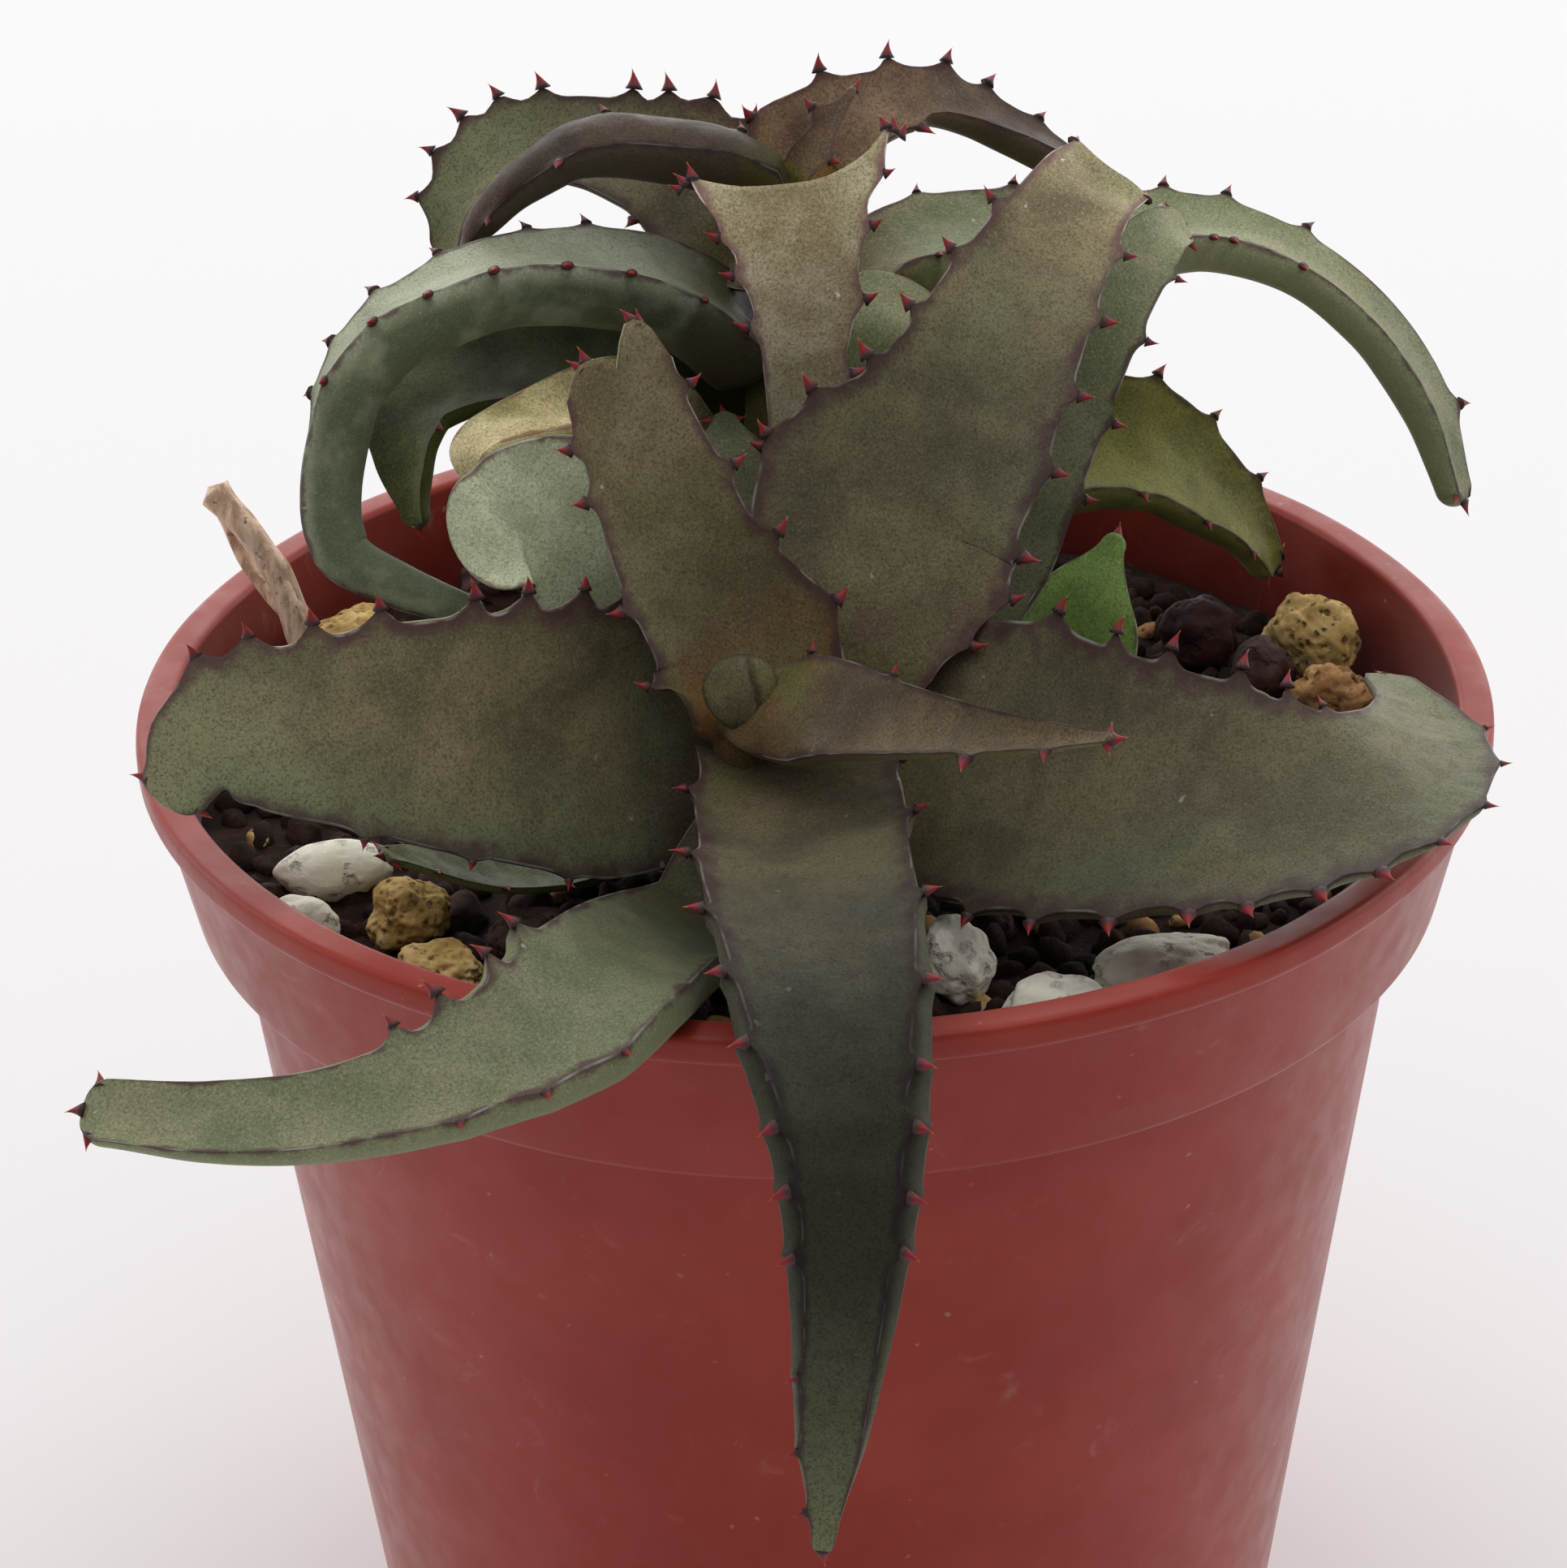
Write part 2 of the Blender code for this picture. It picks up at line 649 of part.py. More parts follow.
def front_head():
    """Leaves of the near head, whose middle leans toward the front of the pot."""
    leaf(
        "leaf_front",
        [(-3.2, -20.0, 4.9), (-1.2, -28.0, 5.7), (-0.3, -40.5, 6.8), (0.8, -49.5, 3.9),
         (1.4, -54.8, -2.2), (1.4, -57.2, -8.2), (0.8, -58.5, -15.0), (-0.3, -59.0, -22.6)],
        (0, -0.4, 0.9), width=13.4, shape=(0.8, 0.25, 0.18, 0.85), belly=0.6,
    )
    leaf(
        "leaf_left",
        [(-8.2, -13.0, 2.8), (-14.6, -18.0, 6.6), (-23.7, -23.0, 9.5), (-31.5, -25.0, 10.2),
         (-35.0, -25.0, 8.1), (-36.4, -24.5, 5.0)],
        (0, -0.78, 0.6), (0, -0.85, 0.5), width=14.8, shape=(0.72, 0.32, 0.3, 2.2), thick=3.4,
    )
    leaf(
        "leaf_right",
        [(3.6, -14.4, 0.8), (9.4, -18.0, 3.8), (18.6, -24.0, 6.2), (28.0, -28.0, 7.6),
         (34.2, -26.0, 7.4), (37.0, -19.5, 6.0), (37.0, -12.5, 4.8), (35.4, -7.5, 3.9)],
        (0, -0.7, 0.7), (0.2, -0.3, 0.95), width=15.6, shape=(0.66, 0.28, 0.12, 1.25), thick=3.4,
        teeth=(0.2, 0.96),
    )
    leaf(
        "leaf_front_left",
        [(-8.0, -21.2, -2.4), (-10.6, -30.0, 1.0), (-13.4, -41.6, 4.95), (-17.4, -46.5, 3.8),
         (-22.9, -49.0, 1.6), (-29.0, -50.3, -0.2), (-35.7, -49.6, -0.5), (-39.6, -48.0, -0.8)],
        (0.2, -0.2, 0.95), (0, -0.6, 0.8), width=12.5, shape=(0.62, 0.25, 0.16, 0.75), mat=skin_green(),
        thick=3.8, belly=0.3, spacing=5.4,
    )
    leaf(
        "leaf_upper_right",
        [(2.8, -11.8, 7.8), (4.6, -9.7, 13.0), (7.4, -5.6, 19.2), (12.2, 0.0, 25.0),
         (16.4, 5.2, 28.7), (18.8, 9.6, 29.9), (19.8, 12.4, 29.2)],
        (0, -0.9, 0.3), width=14.8, shape=(0.5, 0.32, 0.43, 0.65), thick=3.4, belly=0,
    )
    leaf(
        "leaf_upper_right_rear",
        [(5.2, -3.6, 3.6), (9.6, -1.0, 8.2), (12.2, 1.8, 13.4), (14.7, 4.6, 17.4),
         (17.6, 7.4, 21.2), (20.8, 11.0, 24.2), (22.8, 13.8, 25.0), (23.8, 16.0, 24.4)],
        (0.2, -0.9, 0.3), width=10.5, mat=skin_green(), shape=(0.6, 0.35, 0.3, 1.4), thick=3.0,
    )
    leaf(
        "leaf_forked",
        [(-2.6, -6.4, 8.0), (-2.2, -2.0, 13.8), (-1.5, 1.0, 18.4), (-0.8, 3.8, 23.0), (-0.7, 6.2, 27.0),
         (-0.9, 7.6, 29.2)],
        (0, -0.95, 0.2), width=13.5, shape=(0.24, 1.0, 1.0, 1.9), thick=2.4, belly=0.02,
        notch=(1.9, 3.0), tip_spines=4,
    )
    leaf(
        "leaf_upper_left",
        [(-4.4, -16.7, 6.4), (-5.6, -14.6, 12.2), (-7.7, -12.6, 18.2), (-9.6, -10.7, 22.8), (-11.1, -9.4, 26.6)],
        (-0.1, -0.95, 0.2), width=12.0, shape=(0.66, 0.25, 0.48, 0.9), thick=2.6, channel=0.3,
        notch=(0.9, 2.0), tip_spines=4, belly=0,
    )
    leaf(
        "leaf_young",
        [(-2.3, -19.8, 8.0), (4.2, -26.6, 12.2), (10.6, -31.6, 14.0), (15.8, -34.6, 15.2)],
        (0.1, -0.7, 0.7), width=7.4, shape=(0.9, 0.15, 0.12, 0.9), thick=2.4, channel=0.45,
    )
    leaf(
        "leaf_left_rear",
        [(-9.4, -7.6, 7.0), (-12.4, -5.2, 11.4), (-15.2, -4.2, 13.4), (-17.8, -4.6, 13.4), (-19.6, -6.0, 12.6)],
        (-0.3, -0.9, 0.4), (-0.3, -0.8, 0.5), width=12.0, mat=skin_green(), thick=2.4,
        shape=(0.6, 0.4, 0.4, 2.2),
    )
    leaf(
        "leaf_green_right",
        [(9.9, -5.6, -3.4), (13.0, -3.3, -2.0), (15.2, -0.6, 0.2), (16.8, 2.6, 3.8), (18.4, 5.4, 7.8)],
        (0, -0.9, 0.4), width=8.4, mat=skin_green(), thick=2.0, shape=(0.55, 0.5, 0.3, 1.6),
    )
    leaf(
        "leaf_low_left",
        [(-11.4, -8.6, -3.2), (-16.4, -13.8, -2.8), (-21.2, -19.0, -1.4), (-25.0, -22.0, 1.0)],
        (-0.2, -0.6, 0.8), width=5.6, mat=skin_green(), thick=1.8, height=1.2, spacing=3.6,
    )
    leaf(
        "leaf_inner_green",
        [(-5.6, -1.2, 7.6), (-5.0, 1.8, 12.0), (-4.6, 4.4, 14.6), (-4.5, 6.6, 15.2)],
        (0, -0.95, 0.3), width=6.0, mat=skin_green(), thick=1.8,
    )


def rear_head():
    """Leaves of the far head, which stands taller behind the near one."""
    leaf(
        "leaf_rear_right",
        [(3.4, 16.6, 18.6), (6.6, 18.6, 22.6), (12.3, 20.0, 23.7), (18.6, 20.5, 24.2), (23.8, 20.0, 24.0),
         (28.4, 19.5, 22.8), (32.8, 18.5, 20.6), (36.8, 17.5, 17.5), (39.9, 16.5, 13.3), (42.1, 15.0, 9.0),
         (42.8, 14.0, 6.0)],
        (0.1, 0.0, 1.0), width=7.6, mat=skin_green(), thick=5.0,
    )
    leaf(
        "leaf_rear_left",
        [(-3.4, 18.0, 18.4), (-6.0, 19.6, 22.8), (-9.6, 20.8, 26.6), (-14.2, 21.4, 28.6),
         (-18.9, 21.2, 28.0), (-22.0, 20.6, 25.0), (-23.2, 20.0, 21.7)],
        (-0.1, -0.1, 0.95), width=9.5, mat=skin_green(), thick=3.0,
    )
    leaf(
        "leaf_arch_left",
        [(-2.9, 13.8, 29.3), (-5.6, 13.4, 32.6), (-10.1, 12.4, 34.1), (-15.1, 11.4, 33.4),
         (-18.9, 11.0, 31.2), (-20.9, 10.9, 28.8), (-21.7, 10.9, 26.6)],
        (0, 0.5, 0.85), width=5.5, thick=2.8, shape=(0.9, 0.2, 0.25, 1.2),
    )
    leaf(
        "leaf_arch_right",
        [(-0.8, 15.4, 27.2), (-0.4, 15.8, 30.2), (1.9, 16.6, 32.0), (5.2, 17.4, 32.6), (9.1, 18.2, 32.2),
         (12.8, 19.0, 30.6), (15.9, 19.2, 29.0), (19.0, 19.0, 27.0)],
        (0.1, -0.8, 0.4), (0.2, 0.2, 0.9), width=7.0, thick=3.8, shape=(0.85, 0.2, 0.25, 1.2),
    )
    leaf(
        "leaf_rear_young",
        [(-0.8, 12.6, 29.6), (0.8, 12.6, 31.9), (2.7, 13.4, 34.4)],
        (-0.3, -0.8, 0.5), width=2.2, thick=1.1, shape=(0.9, 0.2, 0.3, 1.2), tip_spines=1, height=1.0,
    )
    leaf(
        "leaf_hook",
        [(-3.8, 11.5, 22.2), (-7.3, 10.6, 25.6), (-11.7, 9.0, 27.6), (-15.2, 7.2, 28.2), (-19.4, 5.3, 28.0),
         (-24.6, 3.5, 26.3), (-28.0, 2.0, 23.9), (-30.1, 0.3, 20.9), (-30.4, -2.0, 16.8), (-29.4, -4.0, 13.0),
         (-27.0, -5.5, 10.9), (-23.3, -6.4, 10.0)],
        (-0.2, 0.25, 0.95), width=7.0, mat=skin_green(), thick=5.6, shape=(0.8, 0.3, 0.35, 1.6),
    )
    leaf(
        "leaf_wilted",
        [(-6.6, 8.0, 13.4), (-9.8, 6.4, 17.0), (-14.8, 2.6, 18.4), (-17.7, 1.4, 18.2), (-20.0, 0.8, 16.8),
         (-20.4, 0.2, 13.4)],
        (-0.1, -0.8, 0.5), (-0.7, -0.7, 0.1), width=6.0, mat=skin_pale(), thick=1.6, height=0.9, tip_spines=0,
    )
    leaf(
        "leaf_olive",
        [(-5.6, 13.6, 12.0), (-10.4, 11.4, 17.6), (-17.1, 8.8, 18.8), (-22.5, 6.2, 18.0), (-25.3, 4.9, 15.0),
         (-25.8, 3.9, 10.4)],
        (-0.1, -0.7, 0.7), (-0.5, -0.85, 0.1), width=8.4, mat=skin_green(), thick=2.0, height=1.2, tip_spines=1,
    )
    leaf(
        "leaf_rear_front",
        [(3.4, 7.4, 11.2), (3.9, 8.2, 16.4), (4.6, 10.0, 19.6), (5.2, 12.6, 20.2)],
        (0.1, -0.95, 0.3), width=6.6, mat=skin_green(), thick=1.8,
    )
    leaf(
        "leaf_droop_right",
        [(4.6, 12.6, 4.0), (11.2, 14.6, 7.4), (17.0, 16.0, 9.2), (22.2, 17.0, 8.4), (26.4, 18.0, 5.0),
         (29.4, 18.8, 1.4), (30.6, 19.4, -1.4)],
        (0.1, -0.6, 0.8), (0.6, -0.65, 0.5), width=11.4, mat=skin_pale(), thick=4.2,
        shape=(0.6, 0.45, 0.3, 1.8),
    )


def main():
    clear_scene()
    pot()
    clear = [(place[0], place[1], max(size[0], size[1])) for _, place, size, _, _, _ in STONES]
    clear.append((STEM_X, STEM_Y, STEM_HOLE + 1.2))
    clear.append((-2.6, 3.6, 5.0))
    clear.append((6.6, -4.4, 2.0))
    clear.append((14.5, -4.0, 1.6))
    clear.append((-31.0, 7.5, 2.0))
    soil(clear)
    stem()
    dry_stalk()
    stones()
    front_head()
    rear_head()


main()
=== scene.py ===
"""The look of a two-headed toothed aloe in a round plastic pot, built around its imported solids."""

import math
import random
from types import SimpleNamespace

import bmesh
import bpy
import numpy as np
from mathutils import Matrix, Vector, noise


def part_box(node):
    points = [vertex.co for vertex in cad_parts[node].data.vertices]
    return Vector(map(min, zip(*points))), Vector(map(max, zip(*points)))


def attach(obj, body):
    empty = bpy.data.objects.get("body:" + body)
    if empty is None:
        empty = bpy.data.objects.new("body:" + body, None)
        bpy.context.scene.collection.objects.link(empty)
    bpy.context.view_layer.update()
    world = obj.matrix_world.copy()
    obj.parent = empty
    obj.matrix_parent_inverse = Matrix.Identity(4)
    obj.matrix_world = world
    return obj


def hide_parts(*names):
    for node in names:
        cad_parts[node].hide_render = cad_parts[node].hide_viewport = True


bl_info = {
    "name": "Potted aloe",
    "version": (1, 0, 0),
    "blender": (4, 5, 0),
    "location": "3D View > Sidebar > Aloe",
    "description": "Builds a potted toothed aloe, piece by piece, around its solids",
    "category": "Object",
}

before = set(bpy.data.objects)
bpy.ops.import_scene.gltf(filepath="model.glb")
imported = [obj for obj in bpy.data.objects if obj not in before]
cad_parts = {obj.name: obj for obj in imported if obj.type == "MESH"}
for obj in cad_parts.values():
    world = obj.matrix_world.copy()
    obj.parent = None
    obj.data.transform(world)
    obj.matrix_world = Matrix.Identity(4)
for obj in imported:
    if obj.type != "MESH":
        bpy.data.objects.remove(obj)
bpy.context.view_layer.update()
POT_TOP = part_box("pot")[1].z
LIP_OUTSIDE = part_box("pot")[1].x

# Lengths below are in millimetres, from the middle of the pot's rim, unless they are a setting of the add-on.
MM = 0.001
RIM = POT_TOP / MM
SOIL_LEVEL = -8.0
BALL_LEVELS = 5
CURVE_STEPS = 24


def length(name, description, default):
    return bpy.props.FloatProperty(
        name=name, description=description, default=default, min=0.0, unit="LENGTH", subtype="DISTANCE"
    )


def colour(name, description, default):
    return bpy.props.FloatVectorProperty(
        name=name, description=description, default=default, size=3, min=0.0, max=1.0, subtype="COLOR"
    )


class AloeSizes(bpy.types.PropertyGroup):
    """Sizes of the plant's and the pot's finer parts."""

    leaf_ring: length("Leaf ring step", "Distance between two rings of a leaf's skin", 0.00036)
    tooth_height: length("Tooth height", "Height of the hard spine on a leaf's edge", 0.00125)
    tooth_base: length("Tooth base", "Radius of the hard spine at its foot", 0.00054)
    tooth_cusp: length("Tooth cusp", "How far the leaf's edge rises to meet a spine", 0.0015)
    grain: length("Grain size", "Half width of a middling crumb of soil", 0.00085)
    pot_sides: bpy.props.IntProperty(
        name="Pot sides", description="Facets round the pot", default=256, min=32, max=512
    )
    seed: bpy.props.IntProperty(name="Seed", description="Fixes everything scattered", default=7, min=0)


class AloeColours(bpy.types.PropertyGroup):
    """Colours of the finishes."""

    pot: colour("Pot", "Terracotta plastic", (0.268, 0.0165, 0.005))
    skin_brown: colour("Brown leaf", "Sunned upper faces", (0.127, 0.103, 0.056))
    skin_green: colour("Green leaf", "Shaded leaves", (0.143, 0.139, 0.081))
    skin_back: colour("Leaf back", "Waxy backs of the leaves", (0.138, 0.147, 0.078))
    skin_edge: colour("Leaf edge", "Purple rims of the leaves", (0.052, 0.024, 0.026))
    tooth: colour("Tooth", "Red of the spines", (0.24, 0.014, 0.02))
    soil: colour("Soil", "Dark peat", (0.016, 0.007, 0.006))
    floor: colour("Floor", "Pale studio floor", (0.8, 0.79, 0.8))


def linked(name, data):
    """An object in the scene for a mesh, a lamp or a camera."""
    made = bpy.data.objects.new(name, data)
    bpy.context.scene.collection.objects.link(made)
    return made


def store(mesh, name, values):
    """Keep a number for every point of a mesh."""
    layer = mesh.attributes.new(name, "FLOAT", "POINT")
    layer.data.foreach_set("value", np.zeros(len(mesh.vertices), np.float32) + np.asarray(values, np.float32))


def mesh_piece(name, points, faces, finish, **values):
    """One closed, smooth mesh with a finish, and with named numbers for its points."""
    mesh = bpy.data.meshes.new(name)
    co = np.array(points, float)
    co[:, 2] += RIM
    mesh.from_pydata((co * MM).tolist(), [], faces)
    mesh.materials.append(finishes()[finish])
    mesh.polygons.foreach_set("use_smooth", [True] * len(mesh.polygons))
    bm = bmesh.new()
    bm.from_mesh(mesh)
    bmesh.ops.recalc_face_normals(bm, faces=bm.faces)
    bm.to_mesh(mesh)
    bm.free()
    for label, numbers in values.items():
        store(mesh, label, numbers)
    return linked(name, mesh)


def finish_piece(piece, slot, *nodes):
    """Let a piece ride on the frame and stand for its solids."""
    if nodes:
        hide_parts(*nodes)
    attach(piece, "root")


def ball():
    """Points and faces of a finely divided ball, one unit in radius."""
    bm = bmesh.new()
    bmesh.ops.create_icosphere(bm, subdivisions=BALL_LEVELS, radius=1.0)
    bm.verts.index_update()
    points = [v.co.copy() for v in bm.verts]
    faces = [[v.index for v in f.verts] for f in bm.faces]
    bm.free()
    return points, faces


def around(sides):
    """Cosine and sine of every corner of a ring."""
    turns = (2 * math.pi * i / sides for i in range(sides))
    return [(math.cos(a), math.sin(a)) for a in turns]


def skin_faces(count, rings, far_end=True):
    """Faces between rings of equal length, and fans to the points after them that close the ends."""
    after = [(i + 1) % count for i in range(count)]
    made = [(a + i, a + j, a + count + j, a + count + i)
            for a in range(0, (rings - 1) * count, count) for i, j in enumerate(after)]
    middle = rings * count
    made += [(j, i, middle) for i, j in enumerate(after)]
    if far_end:
        made += [(middle - count + i, middle - count + j, middle + 1) for i, j in enumerate(after)]
    return made


def smooth_path(points, least, step=math.inf):
    """Even places about a step apart along a curve through every given point, and the curve's length."""
    pts = [Vector(p) for p in points]
    pts = [pts[0] * 2 - pts[1], *pts, pts[-1] * 2 - pts[-2]]
    dense = []
    for k in range(1, len(pts) - 2):
        near = pts[k - 1 : k + 3]
        knots = [0.0]
        for p, q in zip(near, near[1:]):
            knots.append(knots[-1] + max((q - p).length, 1e-6) ** 0.5)
        for i in range(CURVE_STEPS):
            t = knots[1] + (knots[2] - knots[1]) * i / CURVE_STEPS
            row = near
            for level in (1, 2, 3):
                blend = []
                for j in range(4 - level):
                    low, high = (j, j + level) if level < 3 else (1, 2)
                    w = (t - knots[low]) / (knots[high] - knots[low])
                    blend.append(row[j] * (1 - w) + row[j + 1] * w)
                row = blend
            dense.append(row[0])
    dense.append(pts[-2])
    lengths = [0.0]
    for p, q in zip(dense, dense[1:]):
        lengths.append(lengths[-1] + (q - p).length)
    total = lengths[-1]
    count = max(least, round(total / step) + 1)
    places = []
    k = 0
    for i in range(count):
        want = total * i / (count - 1)
        while k < len(lengths) - 2 and lengths[k + 1] < want:
            k += 1
        w = (want - lengths[k]) / max(lengths[k + 1] - lengths[k], 1e-9)
        places.append(dense[k].lerp(dense[k + 1], min(max(w, 0.0), 1.0)))
    return places, total


def frames(places, face, face_end=None):
    """Along, side and upper-face directions at every place, turned little by little to face_end."""
    last = len(places) - 1
    along = [(places[min(i + 1, last)] - places[max(i - 1, 0)]).normalized() for i in range(last + 1)]
    carried = []
    up = Vector(face)
    for t in along:
        up = (up - t * up.dot(t)).normalized()
        carried.append(up)
    twist = 0.0
    if face_end:
        goal = Vector(face_end)
        goal = (goal - t * goal.dot(t)).normalized()
        twist = math.atan2(up.cross(goal).dot(t), up.dot(goal))
    result = []
    for i, t in enumerate(along):
        turned = Matrix.Rotation(twist * i / last, 3, t) @ carried[i]
        result.append((t, turned.cross(t).normalized(), turned))
    return result


def spot_of(values, s):
    """The entry of a list before a share of its length, and how far the share lies past it."""
    x = min(max(s, 0.0), 1.0) * (len(values) - 1)
    k = min(int(x), len(values) - 2)
    return k, x - k


def at_share(values, s):
    """A number or direction between two neighbours in a list, at a share of its length."""
    k, w = spot_of(values, s)
    return values[k] * (1 - w) + values[k + 1] * w


def eased(values, s):
    """A smooth value along a list, at a share of its length."""
    k, w = spot_of(values, s)
    a, b, c, d = values[max(k - 1, 0)], values[k], values[k + 1], values[min(k + 2, len(values) - 1)]
    return b + 0.5 * w * (c - a + w * (2 * a - 5 * b + 4 * c - d + w * (3 * b - a - 3 * c + d)))


class Nodes:
    """A tree of nodes, written node by node."""

    def __init__(self, tree):
        self.tree = tree

    def add(self, kind, inputs=None, **settings):
        made = self.tree.nodes.new(kind)
        for key, value in settings.items():
            setattr(made, key, value)
        for key, value in (inputs or {}).items():
            self.put(made.inputs[key], value)
        return made

    def put(self, socket, value):
        if isinstance(value, bpy.types.NodeSocket):
            self.tree.links.new(value, socket)
        elif socket.type == "RGBA" and len(value) == 3:
            socket.default_value = (*value, 1.0)
        else:
            socket.default_value = value

    def maths(self, operation, a, b=0.0):
        return self.add("ShaderNodeMath", {0: a, 1: b}, operation=operation).outputs[0]

    def plus(self, a, b):
        return self.maths("ADD", a, b)

    def times(self, a, b):
        return self.maths("MULTIPLY", a, b)

    def span(self, value, low, high, at_high=1.0, at_low=0.0):
        """A number that eases from at_low to at_high while a value goes from low to high."""
        sockets = {"Value": value, "From Min": low, "From Max": high, "To Min": at_low, "To Max": at_high}
        return self.add("ShaderNodeMapRange", sockets, interpolation_type="SMOOTHSTEP").outputs["Result"]


class Finish(Nodes):
    """A procedural material."""

    def __init__(self, name):
        self.mat = bpy.data.materials.new(name)
        self.mat.use_nodes = True
        super().__init__(self.mat.node_tree)
        self.place = self.add("ShaderNodeTexCoord").outputs["Object"]

    def attribute(self, name):
        return self.add("ShaderNodeAttribute", attribute_name=name).outputs["Fac"]

    def noise(self, size, detail=3.0, rough=0.55, distort=0.0, stretch=None):
        place = self.place
        if stretch:
            place = self.add("ShaderNodeMapping", {"Vector": place, "Scale": stretch}).outputs[0]
        sockets = {"Vector": place, "Scale": 1 / MM / size, "Detail": detail, "Roughness": rough,
                   "Distortion": distort}
        return self.add("ShaderNodeTexNoise", sockets).outputs["Fac"]

    def patches(self, size, low, high, at_high=1.0, at_low=0.0, **settings):
        """Soft patches of a size, where a noise lies between low and high."""
        return self.span(self.noise(size, **settings), low, high, at_high, at_low)

    def cells(self, size):
        """Distance to the nearest of many scattered points."""
        sockets = {"Vector": self.place, "Scale": 1 / MM / size}
        return self.add("ShaderNodeTexVoronoi", sockets).outputs["Distance"]

    def mix(self, share, a, b, blend="MIX"):
        """A colour between two. A Mix node takes them in sockets 6 and 7 and gives its third output."""
        made = self.add("ShaderNodeMix", {0: share, 6: a, 7: b}, data_type="RGBA", blend_type=blend)
        return made.outputs[2]

    def coats(self, skin, *layers):
        """A colour under layers, each of them a share and a colour."""
        for share, layer in layers:
            skin = self.mix(share, skin, layer)
        return skin

    def bumps(self, *layers):
        """Bumps on bumps, each with a pattern, a strength and a depth."""
        sockets = {}
        for height, strength, depth in layers:
            sockets.update({"Height": height, "Strength": strength, "Distance": depth * MM})
            sockets["Normal"] = self.add("ShaderNodeBump", sockets).outputs[0]
        return sockets["Normal"]

    def shade(self, skin, rough, shine, normal=None, sheen=0.0, sheen_rough=0.5):
        shader = self.tree.nodes["Principled BSDF"]
        for key, value in (("Base Color", skin), ("Roughness", rough), ("Specular IOR Level", shine),
                           ("Sheen Weight", sheen), ("Sheen Roughness", sheen_rough)):
            self.put(shader.inputs[key], value)
        if normal:
            self.put(shader.inputs["Normal"], normal)


def darker(base, share):
    return tuple(c * share for c in base)


def leaf_skin(name, middle, dark, light, back, edge, feet, edge_from=0.8, foot_to=0.16):
    """Mottled leaf skin: a finely grained face, purple rims, a waxy back and a foot of its own colours, all
    multiplied by painted light and shade along the leaf.
    """
    f = Finish(name)
    across = f.maths("ABSOLUTE", f.attribute("across"))
    under, bite, tone = (f.attribute(label) for label in ("under", "bite", "tone"))
    wander = f.times(f.plus(f.noise(1.6), -0.5), 0.36)
    foot = f.mix(f.patches(4.0, 0.4, 0.6, detail=2.0), *feet)
    at_foot = f.span(f.plus(f.attribute("along"), f.times(wander, 0.4)), foot_to, foot_to * 0.3)
    greener = f.plus(f.attribute("green"), f.patches(8.0, 0.5, 0.75, 0.4, detail=2.0))
    grains = f.noise(0.17, 2.0, 0.8)
    face = f.coats(
        middle, (f.patches(5.0, 0.36, 0.66, detail=4.0, distort=0.4), dark), (greener, back),
        (f.patches(0.9, 0.5, 0.66, 0.3, rough=0.6), dark), (at_foot, foot),
        (f.span(grains, 0.48, 0.38, 0.62), darker(dark, 0.6)), (f.span(grains, 0.54, 0.68, 0.3), light),
    )
    rear = f.coats(
        back, (f.patches(3.2, 0.42, 0.7, 0.55), middle), (at_foot, foot),
        (f.span(grains, 0.48, 0.38, 0.4), dark), (f.span(grains, 0.54, 0.68, 0.2), light),
    )
    rim = f.times(f.span(f.plus(across, wander), edge_from, 1.0), f.span(under, 0.0, 0.9, 0.25, 1.0))
    rim = f.maths("MAXIMUM", rim, f.span(f.plus(bite, wander), 0.2, 0.8))
    horn = f.times(f.span(across, 0.972, 0.99), f.patches(2.2, 0.4, 0.62, detail=2.0))
    horn = f.times(horn, f.span(bite, 0.05, 0.3, 0.0, 0.55))
    spots = f.span(f.plus(f.cells(2.6), f.times(f.noise(0.9), 0.55)), 0.31, 0.26)
    skin = f.coats(f.mix(under, face, rear), (f.times(rim, 0.86), edge), (horn, (0.3, 0.3, 0.27)),
                   (f.times(spots, 0.5), (0.36, 0.36, 0.3)))
    # The skin is multiplied by painted light and shade: brighter where light falls on the leaf, darker where
    # shade falls.
    painted_shading_colour = f.add("ShaderNodeCombineXYZ", {0: tone, 1: tone, 2: tone}).outputs[0]
    skin = f.mix(1.0, skin, painted_shading_colour, "MULTIPLY")
    normal = f.bumps((grains, 0.35, 0.07), (f.noise(1.7, 3.0, 0.6), 0.45, 0.2),
                     (f.noise(4.2, 2.0, 0.4), 0.4, 0.7))
    f.shade(skin, f.patches(1.1, 0.3, 0.7, 0.62, 0.48, detail=2.0), 0.2, normal, 0.05, 0.4)


def tooth_skin(name, red, edge):
    """Spines: purple at the foot, red above, with an amber point."""
    f = Finish(name)
    tip = f.attribute("tip")
    amber = f.span(f.plus(tip, f.times(f.noise(2.5), 0.45)), 0.92, 1.2)
    skin = f.coats(edge, (f.span(tip, 0.1, 0.48), red), (amber, (0.52, 0.17, 0.04)))
    f.shade(skin, 0.42, 0.28, f.bumps((f.noise(0.3), 0.2, 0.05)))


